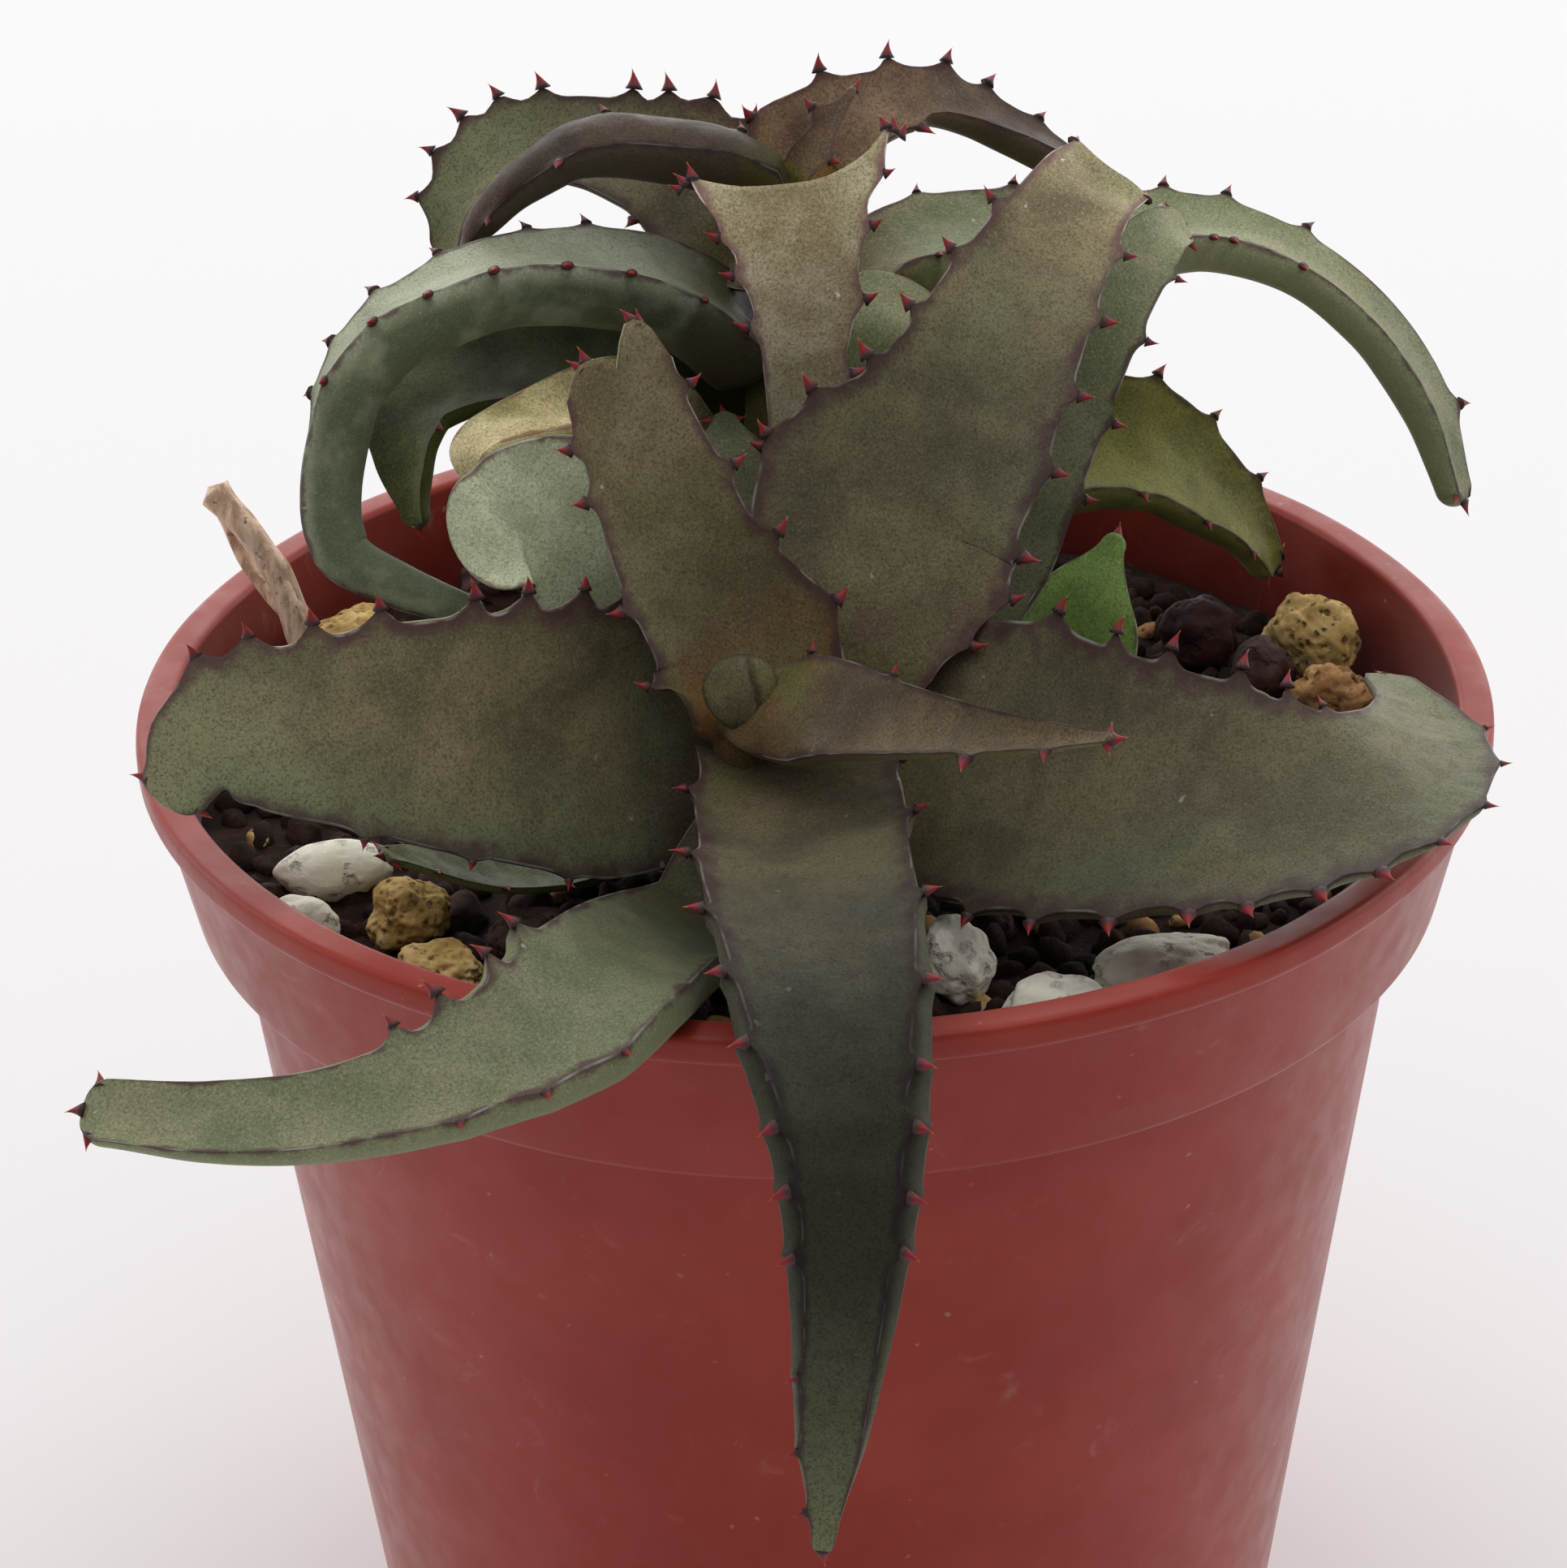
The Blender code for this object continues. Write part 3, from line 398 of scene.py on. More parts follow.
def plastic_finish(name, base):
    """Satin terracotta plastic with fine scratches, pale dust, and painted shade on its inside."""
    f = Finish(name)
    pale = tuple(min(1.0, c * 1.14 + 0.008) for c in base)
    height = f.add("ShaderNodeSeparateXYZ", {"Vector": f.place}).outputs["Z"]
    low = f.span(height, 0.0, 0.05, 0.4, 1.0)
    dust = f.span(f.plus(f.cells(1.9), f.times(f.noise(0.8, 4.0, 0.7), 0.75)), 0.44, 0.37)
    dust = f.times(dust, f.times(low, f.patches(8.0, 0.42, 0.62)))
    scratches = f.patches(0.5, 0.66, 0.72, 0.25, detail=2.0, rough=0.5, stretch=(1.0, 1.0, 0.05))
    skin = f.coats(
        base, (f.patches(14.0, 0.35, 0.7), pale),
        (f.patches(5.0, 0.5, 0.75, 0.18, detail=4.0, rough=0.6), darker(base, 0.78)),
        # Painted shade: the wall inside the pot, below the rim, and the inner floor are drawn much darker.
        (f.times(f.attribute("inside"), 0.88), darker(base, 0.12)), (f.times(dust, 0.55), (0.62, 0.52, 0.48)),
        (f.patches(3.2, 0.6, 0.8, 0.22, detail=5.0, rough=0.65, distort=0.6), (0.5, 0.33, 0.28)),
        (scratches, pale),
    )
    normal = f.bumps((f.noise(0.35, 3.0, 0.6), 0.18, 0.06), (f.noise(6.0, 2.0), 0.25, 0.25))
    f.shade(skin, f.patches(2.4, 0.3, 0.7, 0.5, 0.36, detail=4.0), 0.32, normal, 0.24, 0.35)


def stone_finish(name, light, middle, dark, pit_size, pit_shade, rough=0.9):
    """Broken mineral: patchy colour, with painted shade in its pores."""
    f = Finish(name)
    pores = f.plus(f.cells(pit_size), f.times(f.noise(0.5, 3.0, 0.7), 0.75))
    pores = f.plus(pores, f.times(f.plus(f.noise(2.0, 2.0), -0.5), 0.7))
    skin = f.coats(middle, (f.patches(1.8, 0.35, 0.68, detail=4.0, rough=0.6), light),
                   (f.patches(0.45, 0.5, 0.7, 0.6, detail=4.0, rough=0.7), light),
                   # Painted shade: the pores, which are also the pits of the bumps, are drawn dark.
                   (f.span(pores, 0.66, 0.46, pit_shade), dark))
    normal = f.bumps((f.span(pores, 0.4, 0.75), 0.9, 0.3), (f.noise(0.22, 4.0, 0.75), 0.6, 0.12))
    f.shade(skin, rough, 0.3, normal)


def soil_finish(name, base):
    """Damp peat and bark, nearly black, with brown and rusty crumbs."""
    f = Finish(name)
    skin = f.coats(base, (f.patches(1.6, 0.42, 0.66, detail=4.0, rough=0.6), (0.042, 0.016, 0.01)),
                   (f.patches(0.5, 0.56, 0.74, detail=4.0, rough=0.7), (0.1, 0.05, 0.026)))
    f.shade(skin, 0.88, 0.3, f.bumps((f.noise(0.4, 5.0, 0.75), 0.8, 0.3)))


def stalk_finish(name):
    """Dry, fibrous, papery stalk with dark specks."""
    f = Finish(name)
    fibre = f.noise(0.7, 4.0, 0.6, stretch=(1.0, 1.0, 0.16))
    skin = f.coats((0.44, 0.27, 0.18), (f.span(fibre, 0.35, 0.66), (0.84, 0.62, 0.46)),
                   (f.patches(0.5, 0.6, 0.7, 0.8, rough=0.7), (0.06, 0.032, 0.025)))
    f.shade(skin, 0.85, 0.25, f.bumps((fibre, 0.7, 0.25)))


def floor_finish(name, base):
    """A plain matt pale floor."""
    f = Finish(name)
    f.shade(f.mix(f.patches(300.0, 0.3, 0.7, 0.3, detail=2.0), base, darker(base, 0.985)), 0.9, 0.1)


def finishes():
    """Every finish by its name, made once."""
    if "floor_pale" not in bpy.data.materials:
        make_finishes(bpy.context.scene.aloe_colours)
    return bpy.data.materials


def make_finishes(c):
    """All finishes of the plant, its pot, its soil and the floor."""
    brown, green, back, edge = map(tuple, (c.skin_brown, c.skin_green, c.skin_back, c.skin_edge))
    plain = ((0.086, 0.062, 0.038), (0.092, 0.084, 0.036))
    warm = ((0.132, 0.078, 0.028), (0.112, 0.112, 0.03))
    young = ((0.072, 0.05, 0.028), (0.25, 0.19, 0.125))
    # Middle, dark, light, back, edge and foot colours, where the rim begins, how far up the foot reaches
    for kind, *look in (
        ("brown", brown, (0.066, 0.054, 0.03), (0.235, 0.205, 0.13), back, edge, plain),
        ("green", green, (0.09, 0.105, 0.052), (0.29, 0.3, 0.205), back, edge, plain, 0.88),
        ("crown", (0.14, 0.104, 0.06), *young, (0.13, 0.138, 0.052), edge, warm, 0.8, 0.2),
        ("heart", (0.142, 0.11, 0.074), *young, (0.13, 0.138, 0.052), edge,
         ((0.175, 0.082, 0.022), (0.125, 0.104, 0.03)), 0.8, 0.4),
        ("forked", (0.14, 0.119, 0.086), *young, (0.132, 0.13, 0.07), edge,
         ((0.134, 0.108, 0.036), (0.122, 0.116, 0.036)), 0.84, 0.56),
        # silver: a paler skin, partly the leaves' waxy bloom and partly painted light where light from behind
        # grazes them; its dark back is painted shade on their undersides.
        ("silver", (0.225, 0.238, 0.165), (0.14, 0.152, 0.098), (0.34, 0.355, 0.28),
         (0.06, 0.074, 0.038), edge, plain, 0.9),
        ("bronze", (0.126, 0.083, 0.048), (0.06, 0.036, 0.026), (0.2, 0.15, 0.105),
         (0.105, 0.082, 0.05), edge, warm, 0.84, 0.12),
        ("bright", (0.12, 0.185, 0.042), (0.07, 0.115, 0.026), (0.215, 0.265, 0.085),
         (0.13, 0.195, 0.05), (0.06, 0.06, 0.024), plain, 0.92),
        ("olive", (0.085, 0.095, 0.028), (0.036, 0.04, 0.014), (0.2, 0.19, 0.085),
         (0.09, 0.105, 0.034), (0.06, 0.05, 0.024), plain, 0.92),
        ("wilted", (0.3, 0.25, 0.14), (0.16, 0.14, 0.06), (0.5, 0.42, 0.28),
         (0.25, 0.22, 0.11), (0.12, 0.07, 0.04), plain, 0.92),
        ("yellowing", (0.15, 0.145, 0.032), (0.082, 0.083, 0.02), (0.26, 0.24, 0.095),
         (0.15, 0.165, 0.05), (0.06, 0.04, 0.024), plain, 0.9),
    ):
        leaf_skin("leaf_skin_" + kind, *look)
    tooth_skin("tooth_red", tuple(c.tooth), edge)
    plastic_finish("pot_terracotta", tuple(c.pot))
    soil_finish("soil_peat", tuple(c.soil))
    # Light and middle colours, the colour of the painted shade in the pores, size of the pores, how much of
    # that shade they hold
    for kind, *look in (
        ("chalk", (0.95, 0.92, 0.82), (0.88, 0.84, 0.7), (0.4, 0.36, 0.26), 1.3, 0.3),
        ("pumice", (0.7, 0.49, 0.21), (0.46, 0.29, 0.09), (0.11, 0.065, 0.026), 0.75, 0.85),
        ("rust", (0.52, 0.3, 0.13), (0.32, 0.15, 0.055), (0.05, 0.024, 0.012), 1.1, 0.7),
        ("lava", (0.06, 0.032, 0.026), (0.022, 0.01, 0.009), (0.006, 0.003, 0.003), 1.0, 0.7),
        ("scale", (0.06, 0.02, 0.018), (0.026, 0.009, 0.009), (0.01, 0.004, 0.004), 1.4, 0.3, 0.6),
    ):
        stone_finish("stone_" + kind, *look)
    stalk_finish("stalk_dry")
    floor_finish("floor_pale", tuple(c.floor))


def pot_profile():
    """Radius and height of the pot's wall, from the middle of its base round to its inside."""
    lip, collar, body, taper, wall, floor = LIP_OUTSIDE / MM, 39.7, 37.3, 0.126, 1.1, 1.6
    base, step, lip_inside = -RIM, -10.6, 40.3
    low = body + taper * (base - step)
    # Radius, height and rounding of every corner
    corners = [
        (0.0, base, 0.0), (low - 3.2, base, 0.3), (low - 2.6, base + 0.5, 0.3), (low - 1.6, base, 0.5),
        (low, base, 1.1), (body, step - 0.6, 0.35), (collar - 0.1, step - 0.5, 0.5),
        (lip - 0.9, -2.05, 0.25), (lip, -1.75, 0.5), (lip, 0.0, 0.55), (lip_inside, 0.0, 0.45),
        (collar - wall, step + 0.6, 0.4), (body - wall, step - 1.2, 0.4),
        (low + taper * floor - wall, base + floor, 0.8), (0.0, base + floor, 0.0),
    ]
    arc_steps, longest = 5, 4.0
    outline = []
    for k, (x, y, radius) in enumerate(corners):
        here = Vector((x, y))
        if radius == 0.0:
            outline.append(here)
            continue
        before, after = (Vector(corners[n][:2]) - here for n in (k - 1, k + 1))
        reach = min(radius, 0.45 * before.length, 0.45 * after.length)
        a, b = here + before.normalized() * reach, here + after.normalized() * reach
        for u in (i / arc_steps for i in range(arc_steps + 1)):
            outline.append(a * (1 - u) ** 2 + here * (2 * u * (1 - u)) + b * u * u)
    longer = [outline[0]]
    for p, q in zip(outline, outline[1:]):
        pieces = max(1, int((q - p).length / longest))
        longer += [p.lerp(q, (i + 1) / pieces) for i in range(pieces)]
    return longer


def make_pot(sizes):
    """The whole pot, turned from its profile, with the slight waves of thin plastic."""
    profile = pot_profile()
    wall = profile[1:-1]
    ring = around(sizes.pot_sides)
    wave, rim_from, stiff_to, inside_below = 0.1, -3.0, 20.0, -0.3
    points = []
    for p in wall:
        for x, y in ring:
            warp = wave * noise.noise(Vector((x * 1.6, y * 1.6, p.y * 0.03)))
            lift = wave * noise.noise(Vector((x * 3.0, y * 3.0, 5.0))) if p.y > rim_from else 0.0
            radius = p.x + warp * min(1.0, (p.y + RIM) / stiff_to)
            points.append((radius * x, radius * y, p.y + lift))
    points += [(0.0, 0.0, profile[0].y), (0.0, 0.0, profile[-1].y)]
    rim = max(k for k, p in enumerate(wall) if p.y > inside_below)
    # Painted shade: how much darker the wall is drawn, from just below the rim down the inside and over the
    # inner floor.
    inside = [min(1.0, max(0.0, (k - rim) / 3)) for k in range(len(wall)) for _ in ring]
    faces = skin_faces(len(ring), len(wall))
    pot = mesh_piece("pot_shell", points, faces, "pot_terracotta", inside=[*inside, 0.0, 1.0])
    finish_piece(pot, "pot_plastic", "pot")


class Strewn(Nodes):
    """A tree of nodes that sets copies of one shape on a mesh and leaves one mesh with a finish."""

    def __init__(self, name, inputs):
        super().__init__(bpy.data.node_groups.new(name, "GeometryNodeTree"))
        face = self.tree.interface
        face.new_socket("Geometry", in_out="INPUT", socket_type="NodeSocketGeometry")
        for label, value in inputs.items():
            kind = "NodeSocketInt" if isinstance(value, int) else "NodeSocketFloat"
            face.new_socket(label, in_out="INPUT", socket_type=kind).default_value = value
        face.new_socket("Finish", in_out="INPUT", socket_type="NodeSocketMaterial")
        face.new_socket("Geometry", in_out="OUTPUT", socket_type="NodeSocketGeometry")
        self.entry = self.add("NodeGroupInput").outputs

    def geometry(self, kind, inputs, **settings):
        return self.add("GeometryNode" + kind, inputs, **settings).outputs[0]

    def lay(self, points, shape, turn, size):
        """Set the shape on the points, join all copies and give them the finish."""
        shape = self.geometry("SetShadeSmooth", {"Geometry": shape, "Shade Smooth": True})
        laid = self.geometry("InstanceOnPoints",
                             {"Points": points, "Instance": shape, "Rotation": turn, "Scale": size})
        real = self.geometry("RealizeInstances", {"Geometry": laid})
        done = self.geometry("SetMaterial", {"Geometry": real, "Material": self.entry["Finish"]})
        self.put(self.add("NodeGroupOutput").inputs[0], done)
        return self.tree


def grains_tree():
    """A tree of nodes that lays rough grains on a surface, out of given numbers."""
    n = Strewn("Scattered grains", {"Spacing": 0.0014, "Density": 300000.0, "Smallest": 0.5, "Largest": 1.4,
                                    "Grain": 0.0008, "Fineness": 2, "Seed": 1})
    entry = n.entry
    points = n.geometry("DistributePointsOnFaces",
                        {"Mesh": entry["Geometry"], "Distance Min": entry["Spacing"],
                         "Density Max": entry["Density"], "Seed": entry["Seed"]}, distribute_method="POISSON")
    grain = n.geometry("MeshIcoSphere", {"Radius": entry["Grain"], "Subdivisions": entry["Fineness"]})
    place = n.geometry("InputPosition", {})
    lumps_to_a_metre, any_turn = 900.0, (6.28, 6.28, 6.28)
    blown = n.add("ShaderNodeVectorMath", {0: place, "Scale": lumps_to_a_metre}, operation="SCALE").outputs[0]
    rough = n.add("ShaderNodeTexNoise", {"Vector": blown, "Scale": 1.0, "Detail": 3.0}, noise_dimensions="4D")
    n.put(rough.inputs["W"], entry["Seed"])
    push = n.times(n.plus(rough.outputs["Fac"], -0.5), 1.5)
    offset = n.add("ShaderNodeVectorMath", {0: place, "Scale": push}, operation="SCALE").outputs[0]
    lump = n.geometry("SetPosition", {"Geometry": grain, "Offset": offset})
    spin, size = (
        n.add("FunctionNodeRandomValue", {"Min": low, "Max": high, "Seed": entry["Seed"]},
              data_type="FLOAT_VECTOR").outputs[0]
        for low, high in (((0, 0, 0), any_turn), (entry["Smallest"], entry["Largest"]))
    )
    return n.lay(points, lump, spin, size)


def grow(base, tree, values, name):
    """Run a tree of nodes on an object, keep the result as a plain mesh and drop the object."""
    work = base.modifiers.new("grow", "NODES")
    work.node_group = tree
    keys = {s.name: s.identifier for s in tree.interface.items_tree if getattr(s, "in_out", "") == "INPUT"}
    for label, value in values.items():
        work[keys[label]] = value
    bpy.context.view_layer.update()
    graph = bpy.context.evaluated_depsgraph_get()
    done = base.evaluated_get(graph)
    mesh = bpy.data.meshes.new_from_object(done, preserve_all_data_layers=True, depsgraph=graph)
    base.modifiers.remove(work)
    mesh.name = name
    return linked(name, mesh)


def soil_height(x, y):
    """Height of the ground at a place."""
    mounds, raised = 0.16, 0.6
    p = Vector((x * mounds, y * mounds, 3.0))
    return SOIL_LEVEL + raised + 0.7 * noise.noise(p) + 0.45 * noise.noise(p * 3.1)


def make_ground():
    """A sheet of rough peat over a plain plug."""
    reach, rings, sides, floor = 39.0, 48, 160, 2.2 - RIM
    ring = around(sides)
    points = []
    for radius in (reach * k / rings for k in range(1, rings + 1)):
        points += [(radius * x, radius * y, soil_height(radius * x, radius * y)) for x, y in ring]
    plug = ((38.1, -10.4), (35.6, -13.0), (28.6, floor))
    points += [(radius * x, radius * y, height) for radius, height in plug for x, y in ring]
    points += [(0.0, 0.0, soil_height(0, 0)), (0.0, 0.0, floor)]
    ground = mesh_piece("soil_ground", points, skin_faces(sides, rings + len(plug)), "soil_peat")
    finish_piece(ground, "soil_mix", "soil")


def make_soil(sizes):
    """The ground, and the crumbs and grit lying on it."""
    make_ground()
    count, half, reach, over = 40, 38.0, 38.3, 0.1
    marks = [-half + 2 * half * i / (count - 1) for i in range(count)]
    flat = [(x, y) for x in marks for y in marks]
    inside = [math.hypot(x, y) < reach for x, y in flat]
    cells = []
    for i in range(count - 1):
        for a in range(i * count, i * count + count - 1):
            corners = (a, a + count, a + count + 1, a + 1)
            if all(inside[c] for c in corners):
                cells.append(corners)
    bed = bpy.data.meshes.new("bed")
    bed.from_pydata([(x * MM, y * MM, (soil_height(x, y) + RIM + over) * MM) for x, y in flat], [], cells)
    base = linked("bed", bed)
    tree = grains_tree()
    # Piece, finish, spacing and density in metres, smallest and largest share of the grain, fineness, slot
    for k, (name, finish, spacing, density, low, high, fine, slot) in enumerate((
        ("soil_crumbs", "soil_peat", 0.0016, 420000.0, 0.6, 1.7, 2, "soil_mix"),
        ("soil_lava", "stone_lava", 0.0036, 60000.0, 1.0, 2.1, 3, "stone_dark"),
        ("soil_bark", "stone_rust", 0.0052, 42000.0, 0.6, 1.5, 2, "soil_mix"),
        ("soil_grit", "stone_pumice", 0.008, 16000.0, 0.6, 1.4, 3, "stone_yellow"),
        ("soil_chips", "stone_chalk", 0.012, 8000.0, 0.4, 1.1, 3, "stone_white"),
    )):
        values = {"Spacing": spacing, "Density": density, "Smallest": low, "Largest": high, "Fineness": fine,
                  "Grain": sizes.grain, "Seed": sizes.seed + k, "Finish": finishes()[finish]}
        finish_piece(grow(base, tree, values, name), slot)
    bpy.data.objects.remove(base, do_unlink=True)


STONE_SLOTS = {"chalk": "stone_white", "lava": "stone_dark", "scale": "stone_dark"}
# Solid, finish, depth of its corners and of its pits
STONES = (
    ("stone_white_left", "chalk", 0.07, 0.03), ("stone_white_low", "chalk", 0.18, 0.05),
    ("stone_yellow_left", "pumice", 0.28, 0.2), ("stone_yellow_front", "pumice", 0.28, 0.2),
    ("stone_dark_front", "lava", 0.26, 0.18), ("stone_white_mid", "chalk", 0.2, 0.07),
    ("stone_white_front", "chalk", 0.2, 0.07), ("stone_white_right", "chalk", 0.24, 0.07),
    ("stone_yellow_right", "pumice", 0.26, 0.16), ("stone_brown_right", "rust", 0.32, 0.2),
    ("stone_dark_right", "scale", 0.2, 0.03), ("chip_dark_right", "scale", 0.22, 0.04),
    ("stone_yellow_back", "pumice", 0.3, 0.2), ("stone_dark_back", "scale", 0.26, 0.05),
)


def make_stone(seed, node, finish, corner, pit):
    """One stone, pushed out and pitted from a fine ball laid over its solid."""
    co = np.array([v.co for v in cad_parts[node].data.vertices], float)
    middle = co.mean(0)
    _, axes = np.linalg.eigh(np.cov((co - middle).T))
    if np.linalg.det(axes) < 0:
        axes[:, 0] = -axes[:, 0]
    half = np.abs((co - middle) @ axes).max(0)
    shift = Vector((seed * 7.3, seed * 3.1, seed * 1.7))
    ways, faces = ball()
    pit_reach, sunk = 0.45, 0.8
    rock = []
    for way in ways:
        way.normalize()
        big = noise.noise(way * 1.1 + shift) + 0.5 * noise.noise(way * 2.3 + shift)
        nearest = noise.voronoi(way * 4.5 + shift)[0][0]
        small = noise.noise(way * 7.0 + shift)
        pitted = pit * (0.25 * small - 2.2 * max(0.0, pit_reach - nearest))
        rock.append(way * (0.94 + corner * big + pitted))
    placed = ((np.array(rock, float) * half) @ axes.T + middle) / MM - (0.0, 0.0, RIM)
    placed[:, 2] = np.maximum(placed[:, 2], SOIL_LEVEL - sunk)
    piece = mesh_piece(node + "_rock", placed, faces, "stone_" + finish)
    finish_piece(piece, STONE_SLOTS.get(finish, "stone_yellow"), node)


def tube(path, radii, sides, step, rough, seed):
    """Points and faces of a rough limb with a closed foot and a torn end."""
    places, _ = smooth_path(path, 6, step)
    turned = frames(places, (1.0, 0.1, 0.0))
    points = []
    for i, (place, (_, side, up)) in enumerate(zip(places, turned)):
        radius = at_share(radii, i / (len(places) - 1))
        for x, y in around(sides):
            way = side * x + up * y
            lump = noise.noise(place * 0.45 + way * 0.9 + Vector((seed, 0, 0)))
            ridge = noise.noise(Vector((x * 3.0, y * 3.0, i * 0.03 + seed)))
            points.append(place + way * (radius * (1 + rough * lump + 0.6 * rough * ridge)))
    points += [places[0], places[-1] + turned[-1][0] * radii[-1] * 0.5]
    return points, skin_faces(sides, len(places))


def limbs(name, parts, finish, **values):
    """One piece out of several limbs, each given as for a tube."""
    points, faces = [], []
    for part in parts:
        more_points, more_faces = tube(*part)
        faces += [[len(points) + i for i in face] for face in more_faces]
        points += more_points
    return mesh_piece(name, points, faces, finish, **values)


def make_stalk():
    """The dry, forked stub of an old flower stalk."""
    trunk = [(-31.0, 7.5, -8.4), (-32.5, 8.5, -1.5), (-34.8, 10.0, 4.6), (-37.4, 11.6, 7.6),
             (-38.4, 12.1, 8.6)]
    twig = [(-32.2, 8.4, -2.4), (-33.6, 9.8, 0.4), (-36.0, 12.0, 2.6), (-38.2, 13.8, 6.2)]
    parts = ((trunk, (1.35, 1.15, 1.0, 0.85, 1.15), 20, 0.35, 0.28, 1),
             (twig, (0.75, 0.6, 0.55, 0.3), 14, 0.35, 0.35, 2))
    finish_piece(limbs("flower_stalk_stub", parts, "stalk_dry"), "dry_stalk", "dry_stalk")


def make_bud():
    """The folded tip of the youngest leaf in the middle of the front head."""
    high, out, middle = Vector((0, 0.46, 0.89)), Vector((0, -0.89, 0.46)), Vector((-4.25, -18.9, 9.6))
    width, height, depth = 2.25, 2.15, 1.15
    ways, faces = ball()
    points, tone, along, green = [], [], [], []
    for way in ways:
        x, y, z = way
        fold = x - 0.42 + 0.25 * y
        groove = math.exp(-((fold / 0.09) ** 2)) * 0.14 * max(0.0, z)
        scale = (1.0 + 0.1 * abs(x * y)) * (1 + 0.06 * noise.noise(way * 1.6)) - groove
        pinch = 1.0 - 0.3 * max(0.0, -y) ** 1.5
        sideways = Vector((width * x * pinch * scale, 0, 0))
        points.append(middle + sideways + high * (height * y * scale) + out * (depth * z * scale))
        along.append(0.3 if fold < 0 else 0.1)
        # Painted shade: the bud is darker in the groove of its fold and on its side turned away from the
        # front.
        tone.append((0.95 - 0.6 * min(1.0, groove * 12)) * min(1.0, 0.25 + 1.6 * max(0.0, z)))
        green.append(0.15 + 0.5 * max(0.0, x))
    bud = mesh_piece("crown_bud", points, faces, "leaf_skin_crown", across=0, under=0, bite=0, tone=tone,
                     along=along, green=green)
    finish_piece(bud, "leaf_green")


STEM_X, STEM_Y = -2.4, -2.0
STEM_TOP = SOIL_LEVEL + 1.4
FORK = (STEM_X, STEM_Y, STEM_TOP - 1.5)
# Path and radii of the stump, and of the limbs that carry the front and the rear head
STEM_LIMBS = (
    ([(STEM_X, STEM_Y, SOIL_LEVEL - 6.5), (STEM_X, STEM_Y, STEM_TOP)], (4.6, 4.6)),
    ([FORK, (-2.8, -6.0, -3.8), (-3.2, -11.0, -1.4), (-3.9, -15.8, 0.8), (-4.4, -17.4, 4.4),
      (-4.4, -18.0, 7.6)], (3.4, 3.3, 3.0, 2.0, 1.7, 1.4)),
    ([FORK, (-2.3, 0.6, -2.5), (-2.0, 6.4, 4.0), (-1.4, 11.0, 13.0), (-0.8, 13.4, 24.6)],
     (3.2, 3.3, 3.0, 2.6, 1.2)),
)


def stem_skin(point, clear):
    """The place nearest to a point at a distance from the stem's skin."""
    stops = 40
    found = []
    for path, radii in STEM_LIMBS:
        for i, place in enumerate(smooth_path(path, stops)[0]):
            away = point - place
            found.append((away.length - at_share(radii, i / (stops - 1)), place, away))
    gap, place, away = min(found, key=lambda row: row[0])
    return place + away.normalized() * (away.length - gap + clear)


def make_stem():
    """The stem with its two heads."""
    parts = [(path, radii, 28, 0.6, 0.1, 3 + k) for k, (path, radii) in enumerate(STEM_LIMBS)]
    stem = limbs("stem_limbs", parts, "leaf_skin_crown", across=0, under=0, bite=0, green=0, along=0.1,
                 tone=0.8)
    finish_piece(stem, "leaf_green", "stem")


LEAF_SLOTS = {"green": "leaf_green", "silver": "leaf_green", "bright": "leaf_green", "olive": "leaf_green",
              "wilted": "leaf_wilted", "yellowing": "leaf_wilted"}


def leaf(name, path, face, face_end=None, **more):
    """What sets one leaf apart from the others.

    path, face, face_end: the middle line, and the way the upper face looks at the foot and at the tip
    widths: the width along the leaf; or width and shape: its shares at the foot, peak's place, tip, power
    thick, thin: depth at the foot, and the share of it lost at the tip
    channel, hollow_end: how hollow the upper face is, as a share of the half width, at first and farther on
    belly, waves: how far the lower face bulges sideways, and how high the skin waves
    crown: how far a torn end reaches out, from one edge to the other
    cusp, bites: the rise of the edge at a tooth, and the teeth along both edges, each a share of the length
    or a share and a size
    spine, tips: size of the spines, and their number at the tip
    tone, green, dusk: brightness along the leaf, which is painted light and shade with some of its own
    colour, its greenness, and painted shade darkening one edge
    """
    spec = dict(widths=None, shape=(0.75, 0.3, 0.22, 1.4), thick=3.4, thin=0.72, channel=0.16,
                hollow_end=None, belly=(0, 0.06), waves=0.22, crown=None, cusp=0.6, bites=([], []), spine=1,
                tips=3, skin="brown", slot=None, tone=(1, 1), green=(0, 0), dusk=0)
    return SimpleNamespace(name=name, path=path, face=face, face_end=face_end, **{**spec, **more})
